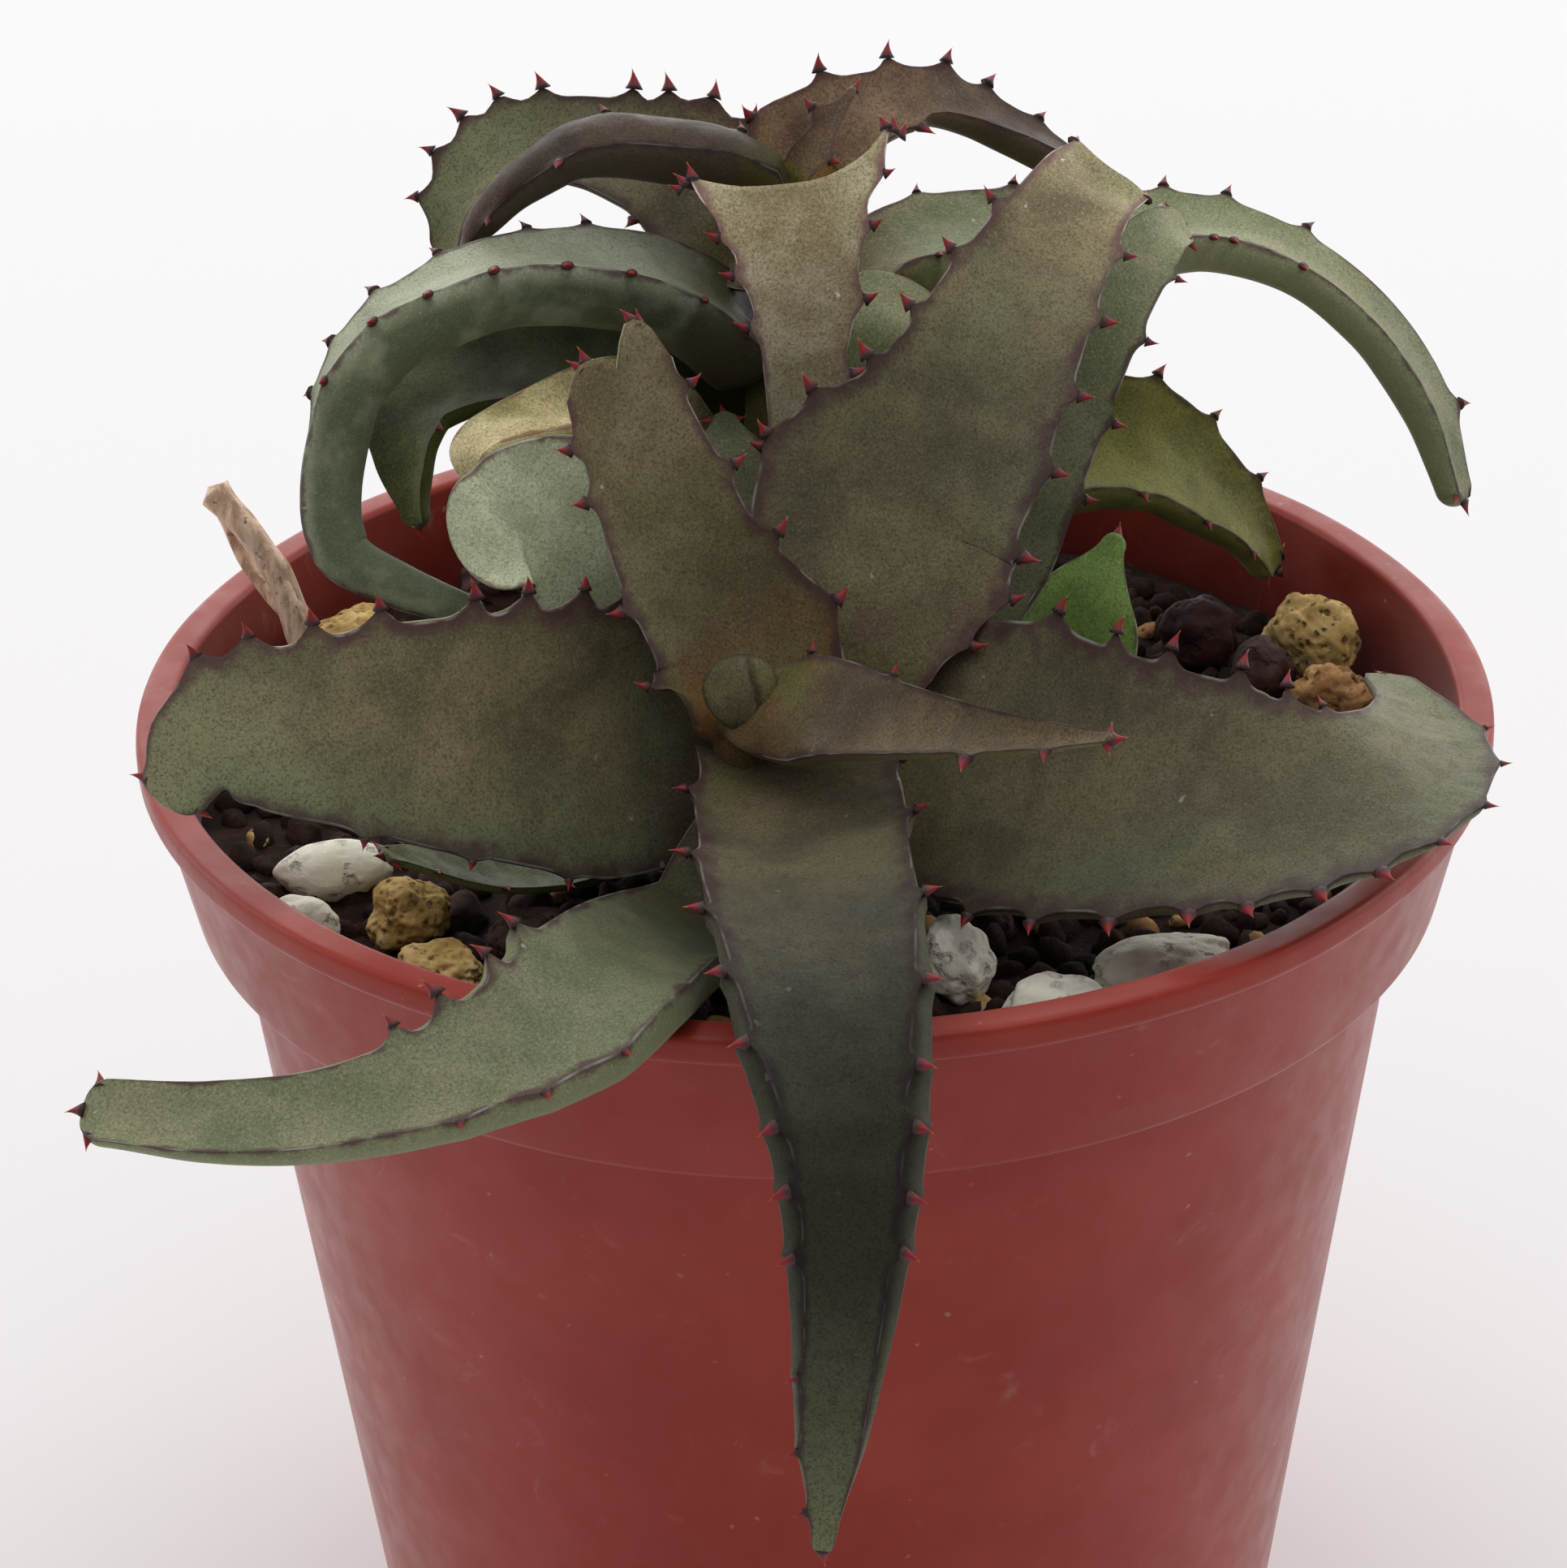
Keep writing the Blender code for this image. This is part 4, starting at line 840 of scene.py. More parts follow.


# In the leaves below, the brightness along each leaf is painted light and shade, and the darker edge of some
# leaves is painted shade.
FRONT_HEAD = [
    leaf("leaf_front", [(-2.6, -16.4, 6), (-1.6, -19.8, 5.4), (-0.9, -26, 5.5), (-0.7, -32.5, 6.3),
         (0, -40.3, 6.8), (0.7, -47.8, 4.9), (1.4, -53.5, -0.3), (1.1, -56.9, -7.2), (0.3, -58.5, -14.8),
         (-0.3, -59, -21.8)], (0, -0.4, 0.9), widths=(9.4, 11.9, 12, 11.7, 10.7, 9.1, 6.6, 4.9, 4, 3.2, 1.3),
         thick=4.4, belly=(0, 0, 0, 0.04, 0.12, 0.28, 0.5, 0.6, 0.5, 0.3, 0.1), cusp=0.5, tips=1,
         tone=(1.2, 1.1, 0.9, 0.6, 0.34, 0.24, 0.22, 0.55, 1.1), green=(0, 0, 0.2, 0.3, 0.6, 0.9, 1),
         bites=([0.09, 0.195, 0.38, 0.49, 0.57, 0.62, 0.675, 0.72], [0.075, 0.23, 0.35, 0.45, 0.53, 0.61,
         0.67, 0.73, (0.84, 0.5), (0.91, 0.5), (0.97, 0.4)])),
    leaf("leaf_left", [(-5.5, -12.2, 0.9), (-9.1, -14.4, 3.2), (-12.7, -16.9, 5.3), (-16.5, -19.3, 7),
         (-20.5, -21.6, 8.5), (-24.8, -23.4, 9.8), (-29.2, -24.5, 10.4), (-33, -24.9, 10.5),
         (-35.7, -25, 9.4), (-37, -24.9, 7.2)], (0, -0.78, 0.6), (0, -0.85, 0.5), widths=(10.5, 14, 16, 15.5,
         14.4, 13.2, 11.6, 9.8, 7.8, 4.2), thick=3.8, cusp=1, tips=2, tone=(1, 1.4, 1.8, 1.9, 2),
         green=(0.3, 0.1, 0.1, 0.3, 0.8), dusk=0.55, bites=([(0.3, 0.3), (0.48, 0.3), (0.665, 0.4)], [0.23,
         0.31, 0.41, 0.505, 0.65, 0.745, 0.83, 0.88])),
    leaf("leaf_right", [(3.6, -13.9, 1.3), (9.1, -17.2, 4.1), (14.4, -21.8, 5.1), (20.2, -25.5, 6.2),
         (26.6, -27.6, 7.2), (32.2, -26, 7.5), (35.6, -21, 6.8), (36.2, -15, 5.8), (35, -10.4, 5.4)],
         (0, -0.7, 0.7), (0.3, -0.4, 0.9), widths=(14, 17.4, 17.2, 16.2, 14.5, 12.3, 9.6, 6.8, 3.4),
         thick=3.8, cusp=0.8, tips=1, tone=(1.1, 1, 1, 1.2, 1.5), green=(0.3, 0.1, 0.1, 0.4, 0.7),
         dusk=-0.22, bites=([0.185, 0.28, 0.365, 0.475, 0.6, (0.71, 0.5)], [0.24, 0.31, 0.395, 0.475, 0.52,
         0.565, 0.61, (0.66, 0.6), (0.72, 0.5), (0.8, 0.35), (0.88, 0.35)])),
    leaf("leaf_front_left", [(-6.9, -21.6, -2.7), (-8.4, -27.7, -0.5), (-9.9, -33.6, 1.9),
         (-11.4, -40.2, 4.2), (-14.5, -45.6, 4), (-20.6, -48.7, 2.2), (-27.1, -49.6, 0.7),
         (-33.3, -49.3, 0.1), (-39, -47.8, -0.3)], (0.2, -0.2, 0.95), (0, -0.6, 0.8), widths=(5.5, 7.6, 8.2,
         8.4, 8, 6, 4.7, 4.2, 3.6), thick=4.4, thin=0.55, belly=(0.1, 0.25, 0.3, 0.3, 0.1), cusp=1,
         tips=3, skin="green", tone=(0.8, 0.95, 1.4, 1.7, 1.9), bites=([(0.49, 0.4), (0.56, 0.35),
         (0.64, 0.35)], [0.425, 0.515, 0.605, (0.67, 0.7)])),
    leaf("leaf_upper_right", [(3.2, -12.2, 7.5), (4, -10.2, 12), (4.9, -7.7, 16), (8.2, -5.2, 19.6),
         (10.6, -2.4, 22.7), (12.8, 0.8, 25.7), (15.1, 4.2, 28.4), (17.3, 8.2, 30.1), (18.7, 11, 30)],
         (0, -0.9, 0.3), widths=(8, 14.2, 16.6, 13.6, 11.1, 9.8, 8.2, 6.7, 6), thick=3.8, belly=(0, 0),
         crown=(0.6, 0.3, 0, 0.2, 0.9), cusp=0.5, tips=2, tone=(1.4, 1.2, 1.05, 1.9, 3.7), green=(0,
         0.1, 0.2, 0, 0), bites=([0.27, 0.325, 0.45, 0.565, 0.68, 0.785], [0.06, 0.14, 0.33, 0.44, 0.56,
         0.695, 0.82])),
    leaf("leaf_upper_right_rear", [(5.2, -3.6, 3.6), (9.6, -1, 8.2), (12.2, 1.8, 13.4), (14.7, 4.6, 17.4),
         (17.6, 7.4, 21.2), (20.8, 11, 24.2), (22.8, 13.8, 25), (23.8, 16, 24.4)], (0.2, -0.9, 0.3),
         widths=(6.3, 8.4, 9.6, 9.4, 8.6, 7.2, 5.6, 4.2, 2.6), thick=3.2, skin="green", tone=(1.1, 1.15, 1.3,
         1.7, 2.2), bites=([], [(0.4, 0.6), (0.55, 0.6), (0.715, 0.6), (0.86, 0.6)])),
    leaf("leaf_forked", [(-1.1, -6.4, 7.9), (-1, -4.5, 10.4), (-0.8, -2.6, 13), (-0.5, -0.8, 15.5),
         (-0.4, 0.9, 18.2), (-0.3, 2.6, 20.9), (-0.2, 4.5, 23.9), (-0.5, 6.6, 27.4), (-0.8, 8.4, 30.6)],
         (0, -0.95, 0.2), widths=(4, 3.8, 3.9, 4, 4.5, 5.4, 6.8, 8.6, 12.6), thick=3, belly=(0, 0), crown=(3,
         1.5, 0.6, 0.1, 0, 0, 0.1, 0.5, 1), cusp=0.5, tips=6, skin="forked", tone=(1.1, 1.2, 1.5, 2.7,
         5.2), green=(0.6, 0.6, 0.3, 0.2, 0.3), bites=([(0.4, 0.8), 0.665, 0.795, 0.875], [(0.4, 0.8), 0.56,
         0.715, 0.845, (0.93, 0.8)])),
    leaf("leaf_upper_left", [(-4.5, -19.4, 6.6), (-3.7, -17.6, 8.8), (-4.3, -15.4, 11.4), (-6, -14, 13.8),
         (-7.5, -13.2, 16.3), (-8.5, -12.3, 18.8), (-9.6, -11.2, 21.3), (-10.6, -10.3, 23.8),
         (-11.2, -9.6, 26)], (-0.1, -0.95, 0.2), widths=(5.6, 10.6, 11.2, 9.8, 9, 8.4, 7.7, 7.1, 6.8),
         thick=3, channel=0.75, hollow_end=0.16, belly=(0, 0), crown=(0, 2.1, 2.8, 2.3, 0.3, 1.1, 1.2, 0.7,
         -0.8), cusp=0.5, tips=4, skin="heart", tone=(0.95, 1, 1.25, 1.5, 1.9), green=(0, 0.1, 0.4, 0.3,
         0.2), bites=([(0.175, 0.8), 0.485, 0.74, 0.88], [0.13, 0.27, 0.44, (0.68, 0.9), (0.92, 0.8)])),
    leaf("leaf_young", [(-2.3, -19.4, 8.7), (0.6, -22.4, 10.3), (4.2, -26.6, 11.8), (10.6, -31.6, 13.4),
         (15.8, -34.6, 14.6)], (0.1, -0.7, 0.7), width=6.9, shape=(0.86, 0.12, 0.1, 0.9), thick=2.8,
         channel=-0.34, hollow_end=0.6, cusp=0.4, skin="crown", tone=(0.9, 1.05, 1.3), bites=([(0.06, 0.8),
         (0.37, 0.4)], [0.675, (0.87, 0.7)])),
    leaf("leaf_left_rear", [(-8, -8.8, 5.6), (-10.4, -7.8, 9.8), (-13, -6.8, 12.8), (-15.4, -5.8, 14.4),
         (-17.6, -5.3, 14.7), (-19.2, -5.6, 14.2)], (-0.3, -0.9, 0.4), (-0.3, -0.8, 0.5), widths=(7, 10, 12,
         12, 10.8, 7.6), thick=3.4, tips=0, skin="silver", tone=(0.4, 1.6, 3), bites=([(0.97, 0.4)],
         [])),
    leaf("leaf_green_right", [(10.2, -5.6, -3.4), (13.2, -3.8, -1.6), (15.8, -2.2, 2.4), (17.2, -0.4, 6.2),
         (18.8, 2, 8.6)], (0, -0.9, 0.4), widths=(6, 8, 8.2, 6.6, 1.6), thick=2, tips=1, skin="bright",
         tone=(1.1, 1.65, 1.8), bites=([], [(0.5, 0.3)])),
    leaf("leaf_low_left", [(-11.4, -8.6, -3.2), (-15.6, -14.2, -2.8), (-20.2, -19.6, -1.2),
         (-24.6, -22.8, 1.4)], (-0.2, -0.6, 0.8), width=8, thick=1.8, skin="olive", tone=(1.5, 1.6, 1.9),
         bites=([(0.5, 0.3), (0.7, 0.3), (0.9, 0.3)], [])),
    leaf("leaf_inner_green", [(-5.6, -1.2, 7.6), (-5.4, 1.8, 12), (-5.2, 4.4, 14.8), (-5.3, 6.6, 15.6)],
         (0, -0.95, 0.3), width=7.6, thick=1.8, skin="green", bites=([(0.6, 0.6)], [(0.35, 0.6),
         (0.8, 0.6)])),
]

REAR_HEAD = [
    leaf("leaf_rear_right", [(2, 15.5, 20.5), (4.6, 17.6, 22.8), (7.4, 18.6, 23.6), (13.8, 19.4, 23.9),
         (20, 19.2, 23.9), (26.5, 19.7, 23.4), (32.5, 19.1, 21), (37.4, 17.7, 17.1), (40.9, 16.4, 11.8),
         (42.4, 14.4, 6.6)], (0.1, 0.1, 0.98), widths=(5.5, 6.8, 6.7, 6.1, 4.8, 4, 3.8, 3.6, 2.4), thick=6.2,
         thin=0.5, tips=3, skin="green", tone=(2.1, 2.1, 2.2, 1.9, 1.5), bites=([(0.15, 0.5),
         (0.26, 0.5), (0.45, 0.7), (0.52, 0.7), (0.62, 0.7), (0.905, 0.9)], [(0.14, 0.5), (0.5, 0.5),
         (0.53, 0.4), (0.63, 0.5)])),
    leaf("leaf_rear_left", [(-3, 16.2, 24), (-4.8, 17, 25.6), (-6.5, 18.2, 26.8), (-8.4, 19, 27.9),
         (-11, 19.6, 28.6), (-13.6, 20, 29.2), (-16.1, 20.2, 29.4), (-18.7, 20.2, 29.2), (-20.7, 20, 28.3),
         (-22.1, 19.8, 26.9), (-23, 19.6, 24.9), (-23.3, 19.4, 22.8)], (-0.1, -0.62, 0.78), (-0.5, -0.7, 0.3),
         widths=(8, 8.8, 9.4, 9, 7.4, 6.4, 5.8, 5.2, 4.6, 4, 3.4, 2.4), thick=2.6, tips=1,
         slot="leaf_green", tone=(1.5, 1.5, 1.2, 1.6, 1.4), green=(0, 0, 0.5, 0.9, 0.8), bites=([(0.2, 0.6),
         (0.32, 0.6)], [0.2, 0.27, 0.34, 0.42, (0.6, 0.9), 0.68, 0.75, 0.83, 0.92])),
    leaf("leaf_arch_left", [(-1.8, 13.6, 30), (-4.6, 13.5, 31.5), (-8.2, 13.2, 32.3), (-11.7, 12.6, 32.8),
         (-14.5, 12, 32.5), (-17, 11.4, 31.1), (-19.2, 11, 29.4), (-20.9, 10.8, 27.2), (-21.6, 10.8, 25.3)],
         (0, 0.05, 0.97), (-0.4, -0.3, 0.7), widths=(3.6, 4.2, 4.4, 4.2, 3.8, 3.2, 2.6, 2, 1), thick=3.8,
         thin=0.5, channel=-0.3, tips=1, skin="bronze", tone=(0.5, 0.6, 0.7), bites=([(0.62, 0.6),
         (0.86, 0.5)], [(0.1, 0.6), (0.45, 0.3)])),
    leaf("leaf_arch_right", [(-0.5, 15.4, 27.2), (-0.1, 15.8, 30.1), (2.2, 16.3, 31.6), (5, 17.3, 32.5),
         (7.9, 18.5, 32.8), (10.9, 19.1, 31.7), (13.7, 19.4, 30.2), (16.4, 18.9, 28.7), (19, 18.7, 27.1)],
         (0.1, -0.8, 0.4), (0.2, 0.2, 0.9), widths=(5, 6.2, 5.4, 4.2, 3.4, 3, 2.9, 2.6, 1.8), thick=4.4,
         thin=0.45, skin="bronze", tone=(3.4, 2.2, 0.8, 0.85), bites=([0.12, 0.25, 0.415, 0.535, (0.65, 0.8),
         (0.79, 0.6)], [(0.42, 0.8), (0.2, 0.7)])),
    leaf("leaf_rear_young", [(-0.8, 12.6, 29.6), (0.8, 12.6, 31.9), (2.7, 13.4, 34.4)], (-0.3, -0.8, 0.5),
         width=2.2, shape=(0.9, 0.2, 0.3, 1.2), thick=1.1, tips=1, spine=0.8, skin="bronze",
         tone=(1.4, 1.8, 2), bites=([0.6908], [0.3992])),
    leaf("leaf_hook", [(-2.4, 11.9, 19.6), (-5.4, 11, 22.8), (-8.6, 10, 25), (-11.8, 9, 26.2),
         (-15.2, 7.6, 27), (-18, 6.6, 27.3), (-21, 5.2, 27.1), (-23.8, 4, 26.2), (-26.6, 3, 25),
         (-28.6, 2, 23.1), (-29.9, 1, 21.1), (-30.7, 0, 18.3), (-31.1, -1.4, 15.3), (-30.8, -3, 12.6),
         (-29.5, -4.4, 10.5), (-25.8, -5.6, 9.1), (-21.3, -6.4, 8.1)], (0.75, -0.08, 0.66),
         (-0.25, -0.31, -0.92), widths=(7.4, 7.4, 7.2, 7, 6.8, 6.4, 5.8, 5.2, 4.6, 4.2, 3.4, 2.2), thick=5.4,
         thin=0.5, tips=0, skin="silver", tone=(0.6, 1.3, 1.9, 1.5, 1.2), bites=([(0.125, 0.5),
         (0.225, 0.6), (0.3, 0.7), (0.39, 0.7), (0.46, 0.6), (0.525, 0.6), (0.61, 0.5)], [(0.23, 0.5),
         (0.305, 0.4), (0.41, 0.5), (0.5, 0.7), (0.57, 0.7), (0.635, 0.7), (0.735, 0.6)])),
    leaf("leaf_wilted", [(-6.6, 8.6, 13), (-9.4, 8, 16.5), (-12, 7.4, 17.5), (-14.4, 6.4, 17.5),
         (-16.8, 5.2, 17.2), (-18.8, 4, 17), (-20.4, 3, 16.6), (-21.3, 2, 15.7), (-21, 1.2, 13.8)],
         (-0.1, -0.5, 0.8), (-0.7, -0.7, 0.1), widths=(3.6, 4.6, 5.2, 5, 4.6, 4.2, 3.8, 3.2, 1.2), thick=2.8,
         thin=0.3, waves=0.6, tips=0, skin="wilted", tone=(0.9, 2.8, 3.8, 2.2)),
    leaf("leaf_olive", [(-2.4, 12, 10.5), (-6.2, 12.8, 14.8), (-10, 13, 17), (-13.6, 12.8, 17.6),
         (-17.2, 12.2, 17.9), (-20.2, 11.4, 17.7), (-22.9, 10.2, 17.2), (-24.9, 8.6, 16.4),
         (-25.7, 6.8, 14.7), (-25.6, 5.2, 12.6), (-25.1, 4.2, 10.6)], (-0.1, -0.7, 0.7), (-0.5, -0.85, 0.1),
         widths=(8, 9.6, 9.6, 8.8, 7.8, 7, 6.2, 5.8, 5.2, 3.8, 1.6), thick=3, thin=0.3, waves=0.45,
         tips=1, skin="olive", tone=(0.8, 0.5, 0.45, 0.5, 0.9, 1.3), bites=([(0.83, 0.3)], [(0.3, 0.5),
         (0.45, 0.5), (0.85, 0.4)])),
    leaf("leaf_rear_front", [(3.6, 7.4, 11.2), (4.2, 8.2, 16.6), (5, 10, 20.2), (5.6, 12.4, 21.2)],
         (0.1, -0.95, 0.3), width=8.6, shape=(0.8, 0.3, 0.7, 2.4), thick=1.8, skin="green",
         tone=(1.2, 1.9, 2.2)),
    leaf("leaf_droop_right", [(4.6, 12.6, 4), (7.6, 14.3, 6.4), (11.2, 15.3, 8.2), (15.1, 16.3, 9.6),
         (19.3, 17.1, 9.8), (23.4, 17.8, 8.4), (26.4, 18.5, 5.6), (29.1, 19.1, 2.5), (30.9, 19.7, -1)],
         (0.05, -0.3, 0.95), (0.5, -0.5, 0.7), widths=(5.6, 7, 8.2, 8.8, 8.8, 8.4, 6.8, 4.6, 2.6), thick=7.4,
         thin=0.6, channel=0.34, waves=0.35, skin="yellowing", tone=(1.5, 1.3, 1.4), bites=([(0.6, 0.8),
         (0.72, 0.8), (0.865, 0.7)], [(0.58, 0.45), (0.775, 0.45), (0.93, 0.4)])),
]


def leaf_width(spec, s):
    """Width of a leaf at a share of its length."""
    if spec.widths:
        return eased(spec.widths, s)
    base, peak, tip, power = spec.shape
    if s < peak:
        return spec.width * (base + (1 - base) * math.sin(s / peak * math.pi / 2))
    u = (s - peak) / (1 - peak)
    return spec.width * (tip + (1 - tip) * (1 - u**power))


# Share of the half width past which an edge rises to its teeth, and the slant of the teeth
EDGE_FROM, TOOTH_RISE = 0.72, math.radians(22.0)
# Least flesh under the hollow, how deep a foot sits in the stem, how far a tip droops as a share of its depth
LEAST_FLESH, FOOT_SINK, TIP_DROOP = 0.65, 0.9, 0.4
# Waves to a millimetre: one on the lower face, two on the upper one
UNDER_WAVE, LONG_WAVE, SHORT_WAVE = 0.22, 0.2, 0.42
# How round the lower face is, and how near its edge it starts to bulge
ROUNDNESS, BULGE_FROM = 0.68, 0.12
# Least depth of a torn end, and how far from the end it thins
THINNEST, TORN_EDGE = 0.25, 1.6
FOOT_RINGS, TIP_RINGS, LEAST_RINGS = 7, 9, 24
LEAF_FACETS = 18
ACROSS = [math.cos(math.pi * i / LEAF_FACETS) for i in range(LEAF_FACETS + 1)]
# Share across and, for the lower face, 1: over the upper face to the other edge and back under the lower face
ROUND = [(a, 0) for a in ACROSS] + [(-a, 1) for a in ACROSS[1:-1]]


def cusp(s, total, teeth, base):
    """How near a place on the edge is to a tooth, from 0 to 1."""
    return max((size * max(0.0, 1.0 - abs(s - t) * total / base) ** 2.2 for t, size in teeth), default=0.0)


def tooth_out(side, up):
    """The way a tooth points from an edge."""
    return side * math.cos(TOOTH_RISE) + up * math.sin(TOOTH_RISE)


def leaf_ring(spec, bites, place, axes, half, depth, s, ahead_share, squeeze=1.0):
    """One ring of a leaf, in rows: place, share across, whether below, nearness to a tooth, share along."""
    t, side, up = axes
    channel = spec.channel
    if spec.hollow_end is not None:
        channel += (spec.hollow_end - channel) * min(1.0, s * 1.6)
    hollow = min(channel * half, depth - LEAST_FLESH) * squeeze
    belly = eased(spec.belly, s)
    salt = Vector((sum(map(ord, spec.name)) * 0.37, 0.0, 0.0))
    ring = []
    for a, lower in ROUND:
        edge = 1 if a > 0 else -1
        ahead = eased(spec.crown, (a + 1) / 2) * ahead_share if spec.crown else 0.0
        near = max(0.0, (abs(a) - EDGE_FROM) / (1 - EDGE_FROM)) ** 1.6
        spot = place + side * (half * a)
        x, seen = a, a
        if lower:
            deep = math.sqrt(max(0.0, 1 - a * a))
            x *= 1 + belly * (1 - math.exp(-deep / BULGE_FROM))
            wave = 0.6 * noise.noise(spot * UNDER_WAVE + salt)
            height = spec.waves * wave * deep * squeeze - depth * deep**ROUNDNESS
            near *= 0.5 * near
            seen = math.copysign(max(0.0, 1 - 1.6 * deep), a)
        else:
            wave = noise.noise(spot * LONG_WAVE + salt) + 0.7 * noise.noise(spot * SHORT_WAVE + salt)
            height = spec.waves * wave * (1 - a**4) * squeeze - hollow * (1 - a * a)
        rise, bite = bites[edge]
        point = place + side * (half * x) + up * height + t * ahead
        point += tooth_out(side * edge, up) * (rise * bite * squeeze * near)
        ring.append((*point, seen, lower, bite * squeeze * near, s))
    return ring


def make_leaf(spec, sizes, seeds):
    """One leaf's skin; the places of its teeth are added to seeds."""
    places, total = smooth_path(spec.path, LEAST_RINGS, sizes.leaf_ring / MM)
    turned = frames(places, spec.face, spec.face_end)
    teeth = {e: [b if isinstance(b, tuple) else (b, 1.0) for b in row] for e, row in zip((1, -1), spec.bites)}
    crown = spec.crown
    rise = sizes.tooth_cusp / MM * spec.cusp
    base = 0.85 + 1.05 * spec.cusp
    skin, halves = [], []

    def add_ring(place, axes, half, depth, s, *rest):
        bites = {e: (rise, cusp(s, total, teeth[e], base)) for e in teeth}
        skin.extend(leaf_ring(spec, bites, place, axes, half, depth, s, *rest))

    t, side, up = turned[0]
    half = 0.5 * leaf_width(spec, 0)
    depth = min(spec.thick, 1.5 * half + 0.3)
    start = places[0] - up * (0.5 * depth)
    foot = stem_skin(start, -FOOT_SINK) - start
    if foot.dot(t) < -0.3 * foot.length:
        for u in (k / FOOT_RINGS for k in range(FOOT_RINGS, 0, -1)):
            narrow = 1 - 0.45 * u * u
            thin = depth * (1 - 0.4 * u)
            add_ring(places[0] + foot * u, turned[0], half * narrow, thin, 0.0, 0.0, 1 - 0.5 * u)
    for i, place in enumerate(places):
        s = i / (len(places) - 1)
        half = 0.5 * leaf_width(spec, s)
        halves.append(half)
        depth = min(max(spec.thick * (1 - spec.thin * s**1.4), 0.75), half * 1.5 + 0.3)
        if crown:
            from_end = max(0.0, 1 - (1 - s) * total / TORN_EDGE)
            depth = max(THINNEST, depth * math.sqrt(1 - from_end**2))
        add_ring(place, turned[i], half, depth, s, s**6)
    t, side, up = turned[-1]
    reach = 0.6 * half + 0.5
    if not crown:
        for k in range(1, TIP_RINGS):
            c, w = math.cos(math.pi / 2 * k / TIP_RINGS), math.sin(math.pi / 2 * k / TIP_RINGS)
            lift = up * (-TIP_DROOP * depth * (1 - c))
            add_ring(places[-1] + t * (reach * w) + lift, turned[-1], half * c, depth * c, 1.0, 1.0, c)
    size = len(ROUND)
    rings = len(skin) // size
    faces = skin_faces(size, rings, not crown)
    middle = sum((Vector(row[:3]) for row in skin[:size]), Vector()) / size
    skin.append((*middle, 0.0, 0.5, 0.0, 0.0))
    if crown:
        # The torn end is closed by a strip between the upper and the lower face.
        far, last = (rings - 1) * size, LEAF_FACETS
        for i in range(last):
            low, next_low = far + (size - i) % size, far + (size - i - 1 if i + 1 < last else last)
            faces.append(tuple(dict.fromkeys((far + i, far + i + 1, next_low, low))))
    else:
        skin.append((*(places[-1] + t * reach - up * (TIP_DROOP * depth)), 0.0, 0.5, 0.0, 1.0))
    table = np.array(skin)
    across, under, bite, share = table[:, 3:].T
    # Painted shade: one edge of some leaves is drawn darker and greener.
    dusk = abs(spec.dusk) * np.maximum(0.0, across * math.copysign(1.0, spec.dusk)) ** 1.6
    # The brightness along the leaf is painted light and shade.
    tone, green = (np.interp(share, np.linspace(0, 1, len(row)), row) for row in (spec.tone, spec.green))
    piece = mesh_piece(spec.name + "_skin", table[:, :3], faces, "leaf_skin_" + spec.skin, across=across,
                       under=under, bite=bite, along=share, tone=tone * (1 - dusk), green=green + 1.4 * dusk)
    finish_piece(piece, spec.slot or LEAF_SLOTS.get(spec.skin, "leaf_brown"), spec.name)
    add_teeth(spec, seeds, places, turned, halves, teeth, rise, reach)


def add_teeth(spec, seeds, places, turned, halves, teeth, rise, reach):
    """Place, way, direction along the leaf and size of every spine on one leaf."""
    crown = spec.crown
    rng = random.Random(spec.name)
    alongs, sides, ups = zip(*turned)
    for edge in (1, -1):
        for s, size in teeth[edge]:
            t, up = at_share(alongs, s).normalized(), at_share(ups, s).normalized()
            side = at_share(sides, s).normalized() * edge
            out = tooth_out(side, up)
            ahead = t * ((crown[-1] if edge > 0 else crown[0]) * s**6) if crown else Vector()
            root = at_share(places, s) + side * at_share(halves, s) + ahead + out * (rise * size * 0.8)
            lean = t * rng.uniform(0.05, 0.3)
            scale = spec.spine * (0.45 + 0.55 * size) * (0.82 + 0.18 * math.sin(math.pi * min(s * 1.1, 1.0)))
            seeds.append((root - up * 0.05, (out + lean).normalized(), t, scale * rng.uniform(0.9, 1.1)))
    t, side, up = turned[-1]
    tips = spec.tips
    for k in range(tips):
        if crown:
            edge = 1 if k % 2 else -1
            out = (t + side * (0.3 * edge * (k - 1))).normalized()
            high, far_out = max((eased(crown, (a + 1) / 2), a) for a in ACROSS if a * edge > 0.4)
            root = places[-1] + side * (0.97 * far_out * halves[-1]) + t * (high - 0.15) - up * 0.15
            root += (side * (0.35 * edge) - t * 0.3) * (k // 2)
        else:
            lean = 0.9 * (2 * k / (tips - 1) - 1) if tips > 1 else 0.0
            out = (t * (1.1 - abs(lean)) + side * (1.2 * lean)).normalized()
            round_tip = side * (halves[-1] * lean) + t * (reach * math.sqrt(1 - lean * lean))
            root = places[-1] + round_tip - up * 0.35 - out * 0.25
        seeds.append((root, out, side, spec.spine * rng.uniform(0.8, 1.0)))


